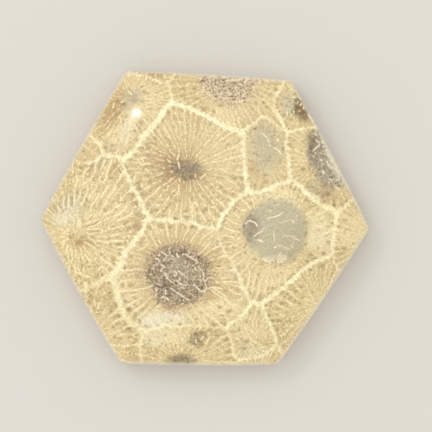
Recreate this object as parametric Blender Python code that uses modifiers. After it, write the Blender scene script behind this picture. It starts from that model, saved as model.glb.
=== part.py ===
"""A hexagonal cabochon of colonial fossil coral: one stone, ground flat behind and polished to a low dome.

It lies on its flat back in the XY plane, with the dome facing +Z and its two far corners on the X axis.
The origin is the middle of the back.
"""

import math

import bmesh
import bpy

MM = 0.001

# Outline from above, counter-clockwise from the right-hand corner. Each side was ground by hand, so it
# bulges a little past the straight line to the next corner: x, y and that bulge, in millimetres.
CORNERS = (
    (15.02, -0.95, 0.10),
    (7.90, 12.53, 0.10),
    (-7.18, 13.43, 0.12),
    (-15.00, -0.13, 0.16),
    (-7.71, -13.24, 0.10),
    (6.62, -13.36, 0.12),
)

CROWN_HEIGHT = 5.5
DOME_RISE = 1.8
DOME_POWER = 4
# The dome follows the six sides. A lower value blends it more softly from one side to the next.
SIDE_BLEND = 14

EDGE_ROUNDING = 0.30
EDGE_SEGMENTS = 3
SHARPEST_KEPT_ANGLE = math.radians(35)
SMOOTH_ANGLE = math.radians(40)
RINGS = 22

STONE_COLOUR = (0.62, 0.49, 0.28, 1.0)
STONE_ROUGHNESS = 0.25
CALCITE_IOR = 1.57


def clear_scene():
    for thing in list(bpy.data.objects):
        bpy.data.objects.remove(thing, do_unlink=True)


def sides():
    """For each side: its first corner, its unit direction, its length, its unit outward normal and its bulge."""
    found = []
    for (x0, y0, bulge), (x1, y1, _) in zip(CORNERS, CORNERS[1:] + CORNERS[:1]):
        length = math.hypot(x1 - x0, y1 - y0)
        along = ((x1 - x0) / length, (y1 - y0) / length)
        found.append(((x0, y0), along, length, (along[1], -along[0]), bulge))
    return found


def bulged(x, y):
    """The place of a point of the straight-sided hexagon once its side has its bulge, and the dome's fall there."""
    fall = 0.0
    reach = 0.0
    shift = 0.0
    for (x0, y0), along, length, normal, bulge in sides():
        offset = normal[0] * x0 + normal[1] * y0
        share = max((normal[0] * x + normal[1] * y) / offset, 0.0)
        fall += share**SIDE_BLEND
        if share > reach:
            reach = share
            part = ((x / share - x0) * along[0] + (y / share - y0) * along[1]) / length
            shift = bulge * 4 * part * (1 - part) / offset
    level = fall ** (1 / SIDE_BLEND)
    return x * (1 + shift), y * (1 + shift), DOME_RISE * level**DOME_POWER


def dome_surface(mesh):
    """The domed top: six sectors round the middle, each divided into a lattice of triangles, pushed to the dome."""
    bmesh.ops.create_circle(mesh, segments=len(CORNERS), radius=1, cap_ends=True, cap_tris=True)
    rim = [vertex for vertex in mesh.verts if vertex.co.length > 0.5]
    rim.sort(key=lambda vertex: math.atan2(vertex.co.y, vertex.co.x) % (2 * math.pi - 0.01))
    for vertex, (x, y, _) in zip(rim, CORNERS):
        vertex.co = (x, y, 0)
    bmesh.ops.subdivide_edges(mesh, edges=mesh.edges[:], cuts=RINGS - 1, use_grid_fill=True)
    for vertex in mesh.verts:
        x, y, fall = bulged(vertex.co.x, vertex.co.y)
        vertex.co = (x, y, CROWN_HEIGHT - fall)


def sides_and_back(mesh):
    """The upright sides, drawn down from the dome's rim, and the flat back across them."""
    rim = [edge for edge in mesh.edges if edge.is_boundary]
    drawn = bmesh.ops.extrude_edge_only(mesh, edges=rim)["geom"]
    for vertex in (item for item in drawn if isinstance(item, bmesh.types.BMVert)):
        vertex.co.z = 0
    back_rim = [item for item in drawn if isinstance(item, bmesh.types.BMEdge) and item.is_boundary]
    back = bmesh.ops.edgeloop_fill(mesh, edges=back_rim)["faces"]
    bmesh.ops.poke(mesh, faces=back)
    bmesh.ops.recalc_face_normals(mesh, faces=mesh.faces[:])


def stone_material():
    material = bpy.data.materials.new("polished_fossil_coral")
    material.use_nodes = True
    shader = material.node_tree.nodes["Principled BSDF"]
    shader.inputs["Base Color"].default_value = STONE_COLOUR
    shader.inputs["Roughness"].default_value = STONE_ROUGHNESS
    shader.inputs["Metallic"].default_value = 0.0
    shader.inputs["IOR"].default_value = CALCITE_IOR
    return material


def coral_stone(collection):
    mesh = bmesh.new()
    dome_surface(mesh)
    sides_and_back(mesh)
    bmesh.ops.scale(mesh, vec=(MM, MM, MM), verts=mesh.verts[:])
    data = bpy.data.meshes.new("coral_stone")
    mesh.to_mesh(data)
    mesh.free()
    data.shade_smooth()
    data.set_sharp_from_angle(angle=SMOOTH_ANGLE)
    data.materials.append(stone_material())
    stone = bpy.data.objects.new("coral_stone", data)
    collection.objects.link(stone)

    rounding = stone.modifiers.new("edge_rounding", "BEVEL")
    rounding.width = EDGE_ROUNDING * MM
    rounding.segments = EDGE_SEGMENTS
    rounding.limit_method = "ANGLE"
    rounding.angle_limit = SHARPEST_KEPT_ANGLE
    return stone


def main():
    clear_scene()
    collection = bpy.data.collections.new("fossil_coral_cabochon")
    bpy.context.scene.collection.children.link(collection)
    coral_stone(collection)


main()
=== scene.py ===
"""A polished six-sided cabochon of fossil coral, seen from straight above on a pale floor.

Every length is in millimetres until a mesh, lamp or camera is placed.
"""

import math

import bpy
import numpy as np
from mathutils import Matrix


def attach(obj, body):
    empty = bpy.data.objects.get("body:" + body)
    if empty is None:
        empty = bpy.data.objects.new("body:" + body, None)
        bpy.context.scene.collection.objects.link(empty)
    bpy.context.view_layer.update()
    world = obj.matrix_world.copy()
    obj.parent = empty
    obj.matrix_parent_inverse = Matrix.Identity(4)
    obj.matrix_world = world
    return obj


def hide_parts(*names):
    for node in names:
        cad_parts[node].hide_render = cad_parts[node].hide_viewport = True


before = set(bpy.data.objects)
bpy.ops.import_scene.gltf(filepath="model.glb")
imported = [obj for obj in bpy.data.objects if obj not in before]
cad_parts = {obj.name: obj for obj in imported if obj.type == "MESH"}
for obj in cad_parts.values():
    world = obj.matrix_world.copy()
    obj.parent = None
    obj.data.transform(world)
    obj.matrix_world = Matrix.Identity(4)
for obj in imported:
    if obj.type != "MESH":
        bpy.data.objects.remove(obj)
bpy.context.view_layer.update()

MM = 0.001

# ---- the ground outline and dome ----
# Corners, counter-clockwise from the right-hand one.
CORNERS = ((15.02, -0.95), (7.9, 12.53), (-7.18, 13.43), (-15, -0.13), (-7.71, -13.24), (6.62, -13.36))
SIDES = len(CORNERS)
# How far the middle of the side after each corner stands proud of a straight line.
SIDE_BULGE = (0.1, 0.1, 0.12, 0.16, 0.1, 0.12)
# How far each corner's tip has been worn back, and how close to the edge the wear keeps.
CORNER_WEAR = (0.08, 0.03, 0.06, 0.06, 0.08, 0.1)
WEAR_POWER = 12
# The height at the middle, the dome's fall from there to the middle of a side, and how late it falls.
CROWN_HEIGHT = 5.5
DOME_RISE = 1.8
DOME_POWER = 4
# How sharply the dome turns from one side to the next.
SIDE_BLEND = 14
# The usual distance from the middle to a side.
MEAN_APOTHEM = 13.05
# The rounded edge of the dome and of the back: how far in it reaches, and how far up or down.
TOP_ARRIS = (0.22, 0.28)
BACK_ARRIS = (0.22, 0.24)
# Rows of points over each rounded edge and down the sides, and rings across the dome and the back.
ARRIS_ROWS = 5
WALL_ROWS = 7
TOP_RINGS = 138
BACK_RINGS = 69
# Bake layout, in shares of the picture: the dome lower left, the back lower right, and the six sides in
# strips above them, two to a row. A span is how many millimetres the whole picture's width stands for.
DOME_MIDDLE, DOME_SPAN = (0.345, 0.31), 45
BACK_MIDDLE, BACK_SPAN = (0.845, 0.145), 103
STRIP_START = (0.01, 0.72)
STRIP_STEP = (0.355, 0.095)
STRIP_SIZE = (0.345, 0.087)

# ---- the coral: one cup per animal, each with its own wall and septa ----
# Where three walls meet, or a wall meets the edge. The numbers are the cups that touch there.
MEETINGS = {
    "1-5-6": (-2.9, 10.55),
    "5-6-17": (-3.35, 12.25),
    "6-17-edge": (-2.6, 13.6),
    "5-17-edge": (-7.6, 13.45),
    "1-4-5": (-7.4, 5.4),
    "4-5-16": (-9.15, 5.75),
    "5-16-edge": (-11.3, 8.2),
    "4-16-edge": (-12.6, 5.85),
    "1-3-4": (-4.95, -0.1),
    "1-2-3": (1.2, -0.95),
    "1-2-7": (3.85, 2.35),
    "1-6-7": (3.45, 7.7),
    "6-7-8-9": (7.45, 7.85),
    "6-8-edge": (7.5, 13),
    "8-9-edge": (10.9, 8.4),
    "2-7-9": (7.95, 3.45),
    "2-9-10": (12, 0.4),
    "9-10-edge": (14.2, 2.5),
    "2-10-11": (11.55, -3.4),
    "10-11-edge": (13.1, -5.8),
    "2-3-12": (4.15, -7.65),
    "2-11-12": (5.1, -7.8),
    "11-12-18": (6.55, -11.5),
    "11-18-edge": (7.4, -13.1),
    "3-12-13": (1.95, -9.95),
    "12-13-18": (3, -12.95),
    "13-18-edge": (3, -13.8),
    "3-13-14": (-5.65, -10.2),
    "13-14-edge": (-5.75, -13.8),
    "3-4-14": (-8.4, -5.15),
    "4-14-edge": (-12.4, -7.1),
}

# Each wall: its two meetings, its half-width and paleness at each end, then the points between.
WALLS = {
    "1|5": ("1-5-6", "1-4-5", 0.3, 0.22, 1, 0.85, (
        (-3.4,10.1),(-3.95,9.45),(-4.2,8.95),(-4.75,8.35),(-5,7.95),(-5.45,7.5),(-5.8,7),(-6.2,6.45),
        (-6.55,6),(-7,5.6))),
    "5|6": ("5-6-17", "1-5-6", 0.1, 0.15, 0.7, 0.9, ((-3.2,11.85),(-3.05,11.2),(-2.95,10.85))),
    "6|17": ("5-6-17", "6-17-edge", 0.1, 0.1, 0.7, 0.8, ((-2.95,12.75),)),
    "5|17": ("5-17-edge", "5-6-17", 0.14, 0.12, 0.8, 0.9, (
        (-7,13.1),(-5.4,12.9),(-4.65,12.6),(-4.2,12.4),(-3.6,12.2))),
    "1|6": ("1-5-6", "1-6-7", 0.18, 0.22, 0.9, 1, (
        (-2.3,10.2),(-1.15,9.9),(-0.55,9.55),(-0.1,9.4),(0.5,9.1),(0.95,8.85),(1.3,8.6),(1.8,8.3),
        (2.25,8.15),(2.75,8.05),(3.1,7.9))),
    "1|7": ("1-6-7", "1-2-7", 0.18, 0.18, 0.85, 0.85, (
        (3.6,7.2),(3.5,6.6),(3.55,5.9),(3.6,5.3),(3.65,4.6),(3.7,3.9),(3.8,3.2),(3.9,2.7))),
    "6|7": ("1-6-7", "6-7-8-9", 0.16, 0.07, 0.95, 0.55, (
        (3.75,8.1),(4.1,8.3),(4.45,8.55),(4.8,8.8),(5.05,9.1),(5.6,9.2),(6.05,8.8),(6.4,8.5),(6.9,8.15))),
    "6|8": ("6-8-edge", "6-7-8-9", 0.11, 0.16, 0.8, 0.95, (
        (7.15,12.3),(6.9,11.75),(6.6,11.3),(6.35,11.05),(6.3,10.4),(6.3,9.9),(6.6,9.55),(6.85,9.2),
        (7.05,8.7),(7.2,8.25))),
    "8|9": ("6-7-8-9", "8-9-edge", 0.14, 0.1, 0.95, 0.7, (
        (8,7.9),(8.5,8.05),(9,8.1),(9.7,8.2),(10.3,8.3))),
    "7|9": ("6-7-8-9", "2-7-9", 0.13, 0.2, 0.8, 0.95, (
        (7.45,7.25),(7.35,6.7),(7.4,6.3),(7.5,5.9),(7.6,5.45),(7.6,5),(7.65,4.5),(7.7,4.1),(7.8,3.75))),
    "2|7": ("1-2-7", "2-7-9", 0.2, 0.19, 0.9, 1, (
        (4.5,2.3),(5,2.3),(5.4,2.5),(5.75,2.6),(6.05,2.65),(6.3,2.95),(6.65,3.05),(7.1,3.2),(7.5,3.25))),
    "2|9": ("2-7-9", "2-9-10", 0.19, 0.2, 0.95, 1, (
        (8.4,3.1),(8.8,2.8),(9.05,2.45),(9.35,2.15),(9.7,1.85),(10.05,1.55),(10.45,1.25),(10.8,1.05),
        (11.2,0.95),(11.65,0.7))),
    "9|10": ("2-9-10", "9-10-edge", 0.2, 0.06, 0.9, 0.35, ((12.2,0.6),(12.6,0.9),(13,1.25))),
    "2|10": ("2-9-10", "2-10-11", 0.19, 0.17, 0.9, 0.8, (
        (11.9,-0.25),(11.85,-0.8),(11.75,-1.25),(11.65,-1.9),(11.65,-2.5),(11.6,-3.15))),
    "10|11": ("2-10-11", "10-11-edge", 0.12, 0.06, 0.6, 0.4, ((11.9,-4.2),(12.3,-4.9))),
    "2|11": ("2-10-11", "2-11-12", 0.17, 0.21, 0.9, 1.05, (
        (10.9,-3.65),(10.4,-3.85),(10.05,-4),(9.7,-4.2),(9.15,-4.55),(8.75,-4.8),(8.5,-5.1),(8.2,-5.45),
        (7.95,-5.7),(7.5,-5.95),(7.2,-6.4),(6.75,-6.65),(6.3,-6.95),(5.9,-7.3),(5.45,-7.6))),
    "2|12": ("2-3-12", "2-11-12", 0.22, 0.2, 1, 1, ((4.55,-7.65),(4.9,-7.8))),
    "2|3": ("1-2-3", "2-3-12", 0.11, 0.17, 0.3, 0.85, (
        (1.2,-1.1),(1.3,-1.7),(1.35,-2.1),(1.5,-2.5),(1.7,-2.95),(1.95,-3.35),(2.3,-3.7),(2.5,-4),
        (2.7,-4.4),(2.8,-4.8),(3.05,-5.1),(3.3,-5.5),(3.35,-5.95),(3.55,-6.4),(3.75,-6.75),(4,-7.2))),
    "1|2": ("1-2-3", "1-2-7", 0.21, 0.2, 1, 1, (
        (1.4,-0.15),(1.6,0.25),(1.85,0.5),(2.1,0.8),(2.4,1.2),(2.65,1.55),(3.05,1.8),(3.45,2.05))),
    "1|3": ("1-3-4", "1-2-3", 0.17, 0.16, 0.8, 0.8, (
        (-4.5,-0.15),(-4,-0.15),(-3.2,-0.2),(-2.75,-0.35),(-2.1,-0.25),(-1.65,-0.45),(-1.15,-0.4),
        (-0.7,-0.6),(-0.3,-0.85),(0.25,-0.8),(0.9,-1))),
    "1|4": ("1-4-5", "1-3-4", 0.14, 0.19, 0.8, 0.9, (
        (-7.35,4.65),(-7.15,4),(-6.9,3.6),(-6.75,3.1),(-6.6,2.7),(-6.35,2.4),(-6.05,2.05),(-5.85,1.6),
        (-5.7,1.15),(-5.5,0.7),(-5.3,0.4))),
    "3|4": ("1-3-4", "3-4-14", 0.18, 0.34, 0.85, 0.7, (
        (-5.25,-0.3),(-5.5,-0.7),(-5.65,-1.15),(-5.9,-1.55),(-6.35,-2),(-6.6,-2.45),(-6.9,-2.8),
        (-7.25,-3.2),(-7.45,-3.7),(-7.6,-4.1),(-7.8,-4.5),(-8.05,-4.85))),
    "4|14": ("3-4-14", "4-14-edge", 0.3, 0.22, 0.6, 0.5, (
        (-8.8,-5.4),(-9.3,-5.7),(-9.9,-6.05),(-10.5,-6.3),(-11.2,-6.6),(-11.7,-6.8))),
    "3|14": ("3-4-14", "3-13-14", 0.3, 0.26, 0.65, 0.7, (
        (-8.2,-5.8),(-8.05,-6.6),(-7.85,-7.3),(-7.7,-7.9),(-7.5,-8.55),(-7.3,-9),(-7,-9.35),(-6.5,-9.6),
        (-6.1,-9.85))),
    "3|13": ("3-13-14", "3-12-13", 0.2, 0.07, 0.8, 0.55, (
        (-5.3,-10.25),(-4.7,-10.05),(-4.1,-9.95),(-3.6,-9.75),(-2.95,-9.8),(-2.3,-9.95),(-1.9,-9.8),
        (-1.3,-9.85),(-0.7,-9.9),(-0.2,-9.85),(0.45,-9.9),(1.2,-9.95))),
    "3|12": ("2-3-12", "3-12-13", 0.18, 0.16, 0.95, 0.8, (
        (4.05,-8),(3.8,-8.4),(3.55,-8.7),(3.3,-8.95),(3,-9.25),(2.6,-9.45),(2.2,-9.7))),
    "12|13": ("3-12-13", "12-13-18", 0.1, 0.11, 0.7, 0.7, (
        (2.15,-10.45),(2.35,-10.95),(2.5,-11.5),(2.55,-12.1),(2.75,-12.7))),
    "12|18": ("12-13-18", "11-12-18", 0.15, 0.14, 0.9, 0.85, (
        (3.7,-12.8),(4.35,-12.7),(4.8,-12.7),(5.3,-12.45),(5.7,-12.2),(6,-11.9),(6.35,-11.7))),
    "11|12": ("2-11-12", "11-12-18", 0.16, 0.14, 0.95, 0.85, (
        (5.3,-8.35),(5.5,-8.8),(5.7,-9.2),(5.95,-9.6),(6.05,-10),(6.25,-10.4),(6.4,-10.85),
        (6.45,-11.25))),
    "11|18": ("11-12-18", "11-18-edge", 0.13, 0.13, 0.8, 0.75, ((6.85,-12),(7.15,-12.6))),
    "13|18": ("12-13-18", "13-18-edge", 0.12, 0.12, 0.7, 0.7, ()),
    "13|14": ("3-13-14", "13-14-edge", 0.16, 0.12, 0.7, 0.6, (
        (-5.7,-10.7),(-5.8,-11.2),(-5.9,-11.7),(-5.85,-12.2),(-5.8,-12.8))),
    "4|5": ("4-5-16", "1-4-5", 0.15, 0.15, 0.85, 0.8, ((-8.6,5.65),(-8.1,5.6),(-7.65,5.5))),
    "5|16": ("4-5-16", "5-16-edge", 0.15, 0.1, 0.9, 0.6, (
        (-9.35,6.15),(-9.45,6.5),(-9.65,6.85),(-9.9,7.1),(-10.4,7.5))),
    "4|16": ("4-5-16", "4-16-edge", 0.12, 0.1, 0.65, 0.6, (
        (-9.7,5.35),(-10.1,5.1),(-10.6,5),(-11,5),(-11.5,5.15),(-11.9,5.4))),
}

# Each cup: its axis, how many septa it has, their half-width and paleness, and the walls round it in order.
CUPS = {
    1: ((-1.6, 4.45), 54, 0.07, 0.9, ("1|5", "1|4", "1|3", "1|2", "1|7", "1|6")),
    2: ((6.4, -1.35), 64, 0.065, 0.75, ("1|2", "2|3", "2|12", "2|11", "2|10", "2|9", "2|7")),
    3: ((-2.5, -4.75), 48, 0.075, 0.95, ("1|3", "3|4", "3|14", "3|13", "3|12", "2|3")),
    4: ((-11.4, -1.75), 52, 0.085, 1, ("4|16", "4|5", "1|4", "3|4", "4|14")),
    5: ((-6.7, 10.75), 52, 0.06, 0.75, ("5|17", "5|6", "1|5", "4|5", "5|16")),
    6: ((1.95, 12.55), 50, 0.065, 0.75, ("6|17", "5|6", "1|6", "6|7", "6|8")),
    7: ((5.5, 6.2), 40, 0.07, 0.3, ("1|7", "2|7", "7|9", "6|7")),
    8: ((8.65, 10.25), 36, 0.06, 0.6, ("6|8", "8|9")),
    9: ((10.95, 5.3), 44, 0.07, 0.8, ("8|9", "7|9", "2|9", "9|10")),
    10: ((16.4, -2), 56, 0.08, 0.8, ("9|10", "2|10", "10|11")),
    11: ((10.4, -7.9), 46, 0.07, 0.9, ("10|11", "2|11", "11|12", "11|18")),
    12: ((4.1, -11.2), 38, 0.065, 0.95, ("2|12", "3|12", "12|13", "12|18", "11|12")),
    13: ((-2, -13.1), 46, 0.07, 0.9, ("13|14", "3|13", "12|13", "13|18")),
    14: ((-11.3, -11.5), 34, 0.09, 1, ("4|14", "3|14", "13|14")),
    16: ((-14.5, 9), 40, 0.08, 0.85, ("5|16", "4|16")),
    17: ((-4.5, 15.6), 40, 0.07, 0.7, ("5|17", "6|17")),
    18: ((5.2, -15), 40, 0.07, 0.75, ("13|18", "12|18", "11|18")),
}

# Closed patches of changed stone: kind, strength, how softly the edge fades, outline.
PATCHES = (
    ("smooth", 0.92, 0.45, (
        (3.45,-0.6),(3.75,0.1),(4.3,0.55),(4.9,1.15),(5.6,1.5),(6.5,1.7),(7.5,1.5),(8.35,1.05),(9,0.3),
        (9.35,-0.7),(9.3,-1.7),(8.9,-2.8),(8.1,-3.7),(7.1,-4.2),(5.9,-4.1),(5,-3.5),(4.2,-2.8),
        (3.7,-1.8))),
    ("smooth", 0.75, 1, (
        (4.3,7.6),(5.2,8.6),(6.2,8.1),(6.9,7),(6.9,5.6),(6.3,4.6),(5.3,4.2),(4.6,4.9),(4.3,6.2))),
    ("mottled", 1, 0.85, (
        (-5.3,-5),(-5.1,-3.8),(-4.4,-2.95),(-3.3,-2.5),(-2,-2.45),(-0.9,-2.8),(0,-3.4),(0.5,-4.3),
        (0.7,-5.3),(0.55,-6.3),(0,-7.1),(-1,-7.8),(-2.3,-8.15),(-3.5,-8),(-4.5,-7.3),(-5.1,-6.2))),
    ("peppered", 1, 0.75, (
        (9.4,7.6),(9.9,8.1),(10.6,7.9),(11.6,6.6),(12.8,4.6),(13,3.6),(12.3,2.7),(11.3,2.6),(10.4,3.6),
        (9.6,4.8),(9.3,6.2))),
    ("pink", 0.95, 0.85, (
        (-0.9,12.9),(-0.5,12.2),(0.1,11.1),(1,10.5),(2.3,10.2),(3.6,10.4),(4.4,11.1),(4.9,12.3),
        (4.9,13.6),(-0.9,13.9))),
)

# Soft round stains of each kind: strength, middle x and y, half-length, half-width, and any turn in degrees.
STAINS = {
    "brown": (
        (0.9, -2.6, 4.5, 2.2, 1.9), (0.55, -2, 4.3, 4.3, 3.4), (0.75, -8.3, 9.9, 2.4, 1.2, 60),
        (0.6, -11.3, -2.1, 1.4, 1.1), (0.8, -2.4, -4.85, 4.2, 3.7), (0.7, 9.2, 9.5, 0.8, 1.1, 30),
        (0.35, 10.9, 2.3, 1.4, 1.2), (0.8, -4.7, 13.2, 1.6, 0.5), (0.6, -6, 13.35, 1.6, 0.4, -6),
        (0.35, 4.6, 4.4, 0.7, 0.9),
    ),
    "grey": (
        (0.55, 10.6, 2.6, 1.5, 1.2), (0.4, -6.4, 13.35, 1, 0.3, -6), (0.45, -2.3, -4.7, 1.5, 1.3),
        (0.65, -6.7, 10.8, 1.5, 0.9, 35), (0.4, -1.6, 4.65, 1, 0.6), (0.45, -12, 1, 1.9, 1.6, 45),
        (0.6, 7.7, 10.2, 0.75, 1.2), (0.25, 8.6, -2.1, 0.8, 0.8), (0.45, 3.55, -11.7, 0.6, 0.8),
    ),
    "dark": (
        (0.72, -1.5, 4.35, 1.7, 1.15, -12), (0.38, -3, 4.5, 1.2, 1), (0.4, -1.65, 3.6, 0.6, 0.4),
        (0.35, -0.7, 4.5, 0.55, 0.6), (0.55, 4.3, -1, 0.9, 1.6), (0.98, 8.85, 10, 0.95, 1.4, 22),
        (0.85, -2.1, -13.05, 1.6, 0.85), (0.45, -0.6, -10.95, 0.95, 0.85), (0.3, -3.6, -6.5, 1.2, 0.9),
        (0.25, -2.3, -7.1, 1.6, 0.8), (0.28, 10.5, 5.2, 1.1, 2.4, 20), (0.35, 9.75, 6.1, 0.4, 1.5, 8),
        (0.3, 10.1, 7.3, 0.6, 0.45), (0.3, 2, 12.1, 2.2, 1.2), (0.35, -2.8, -2.95, 1.8, 0.5),
        (0.4, 9.9, 6.9, 0.6, 1.3, 20),
    ),
    # The haze is partly milky calcite and partly painted sheen; the last two, below the glint, paint its soft
    # tail of reflected light.
    "haze_and_sheen": (
        (0.35, 7.6, 10.6, 0.8, 1.4), (0.15, 10.4, -1.6, 1.2, 2.2), (0.3, -4.6, -10.7, 1.2, 1),
        (0.38, -12.7, 0.5, 1.9, 1.1, 50), (0.35, -12.9, -0.2, 0.9, 0.6), (0.72, -3.7, -9.2, 2.6, 0.85),
        (0.4, -4.7, -9.6, 1.4, 0.6), (0.25, 4.5, -12.1, 1.5, 0.6), (0.6, 11.95, 5, 0.75, 2.5, 27),
        (0.35, -6.9, 8.4, 0.6, 1.7, -18), (0.2, -7.45, 7, 0.5, 1.2, -25),
    ),
    "deep": (
        (0.3, -9.8, 3.6, 3.2, 2.4, 30), (0.25, -9.6, -8, 1.6, 1.6), (0.6, -5, 2.6, 2.2, 3.2, 20),
        (0.4, -10.8, -4.8, 3, 2), (0.8, -12.6, 0.9, 1.8, 1.6),
    ),
    "pale": (
        (0.8, 10.4, -1.4, 1.7, 2.6), (0.75, 6.2, 2.1, 2.4, 0.8), (0.5, 4.3, -10.2, 2, 1.8),
        (0.45, -8.6, -10.2, 1.8, 2.2, 30), (0.25, -7, -9.2, 1.4, 1.4), (0.4, 5.4, 10.8, 1.2, 1.6),
        (0.65, 5.8, -5.6, 3, 1.6, 30), (0.7, 1, -8.5, 3.6, 1.2, 10), (0.5, 1.8, 9.2, 1.8, 1, -20),
        (0.65, 13.2, -1.2, 1.6, 2.4), (0.4, -7.4, 7.4, 1.6, 1.2, 40), (0.4, -4.6, 11.2, 1.2, 1.2),
        (0.4, 8.8, 6.2, 0.9, 1.8), (0.85, -3.6, -10.9, 2.4, 1.1), (0.35, 1.5, 5.5, 2.2, 2.6),
        (0.5, -7.6, -6.5, 1, 3.2, 10),
    ),
}

# Septa and chambers that stand out enough to be drawn one by one.
CHAMBER_KINDS = ("olive", "brown", "grey", "dark")
# Within this distance of a drawn septum the even pattern of septa fades.
DRAWN_REACH = 0.32
SEPTA = []
CHAMBERS = []
SEAMS = []


def septa(half_width, paleness, *lines):
    """Pale septa of one half-width and paleness, each a run of points."""
    SEPTA.append((half_width, paleness, lines))


def chambers(kind, *spots):
    """Soft dark spots of one kind: middle x and y, half-length, half-width, and any turn in degrees."""
    CHAMBERS.append((kind, spots))


def seams(half_width, *lines):
    """Dark lines of one half-width."""
    SEAMS.extend((half_width, line) for line in lines)


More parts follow.
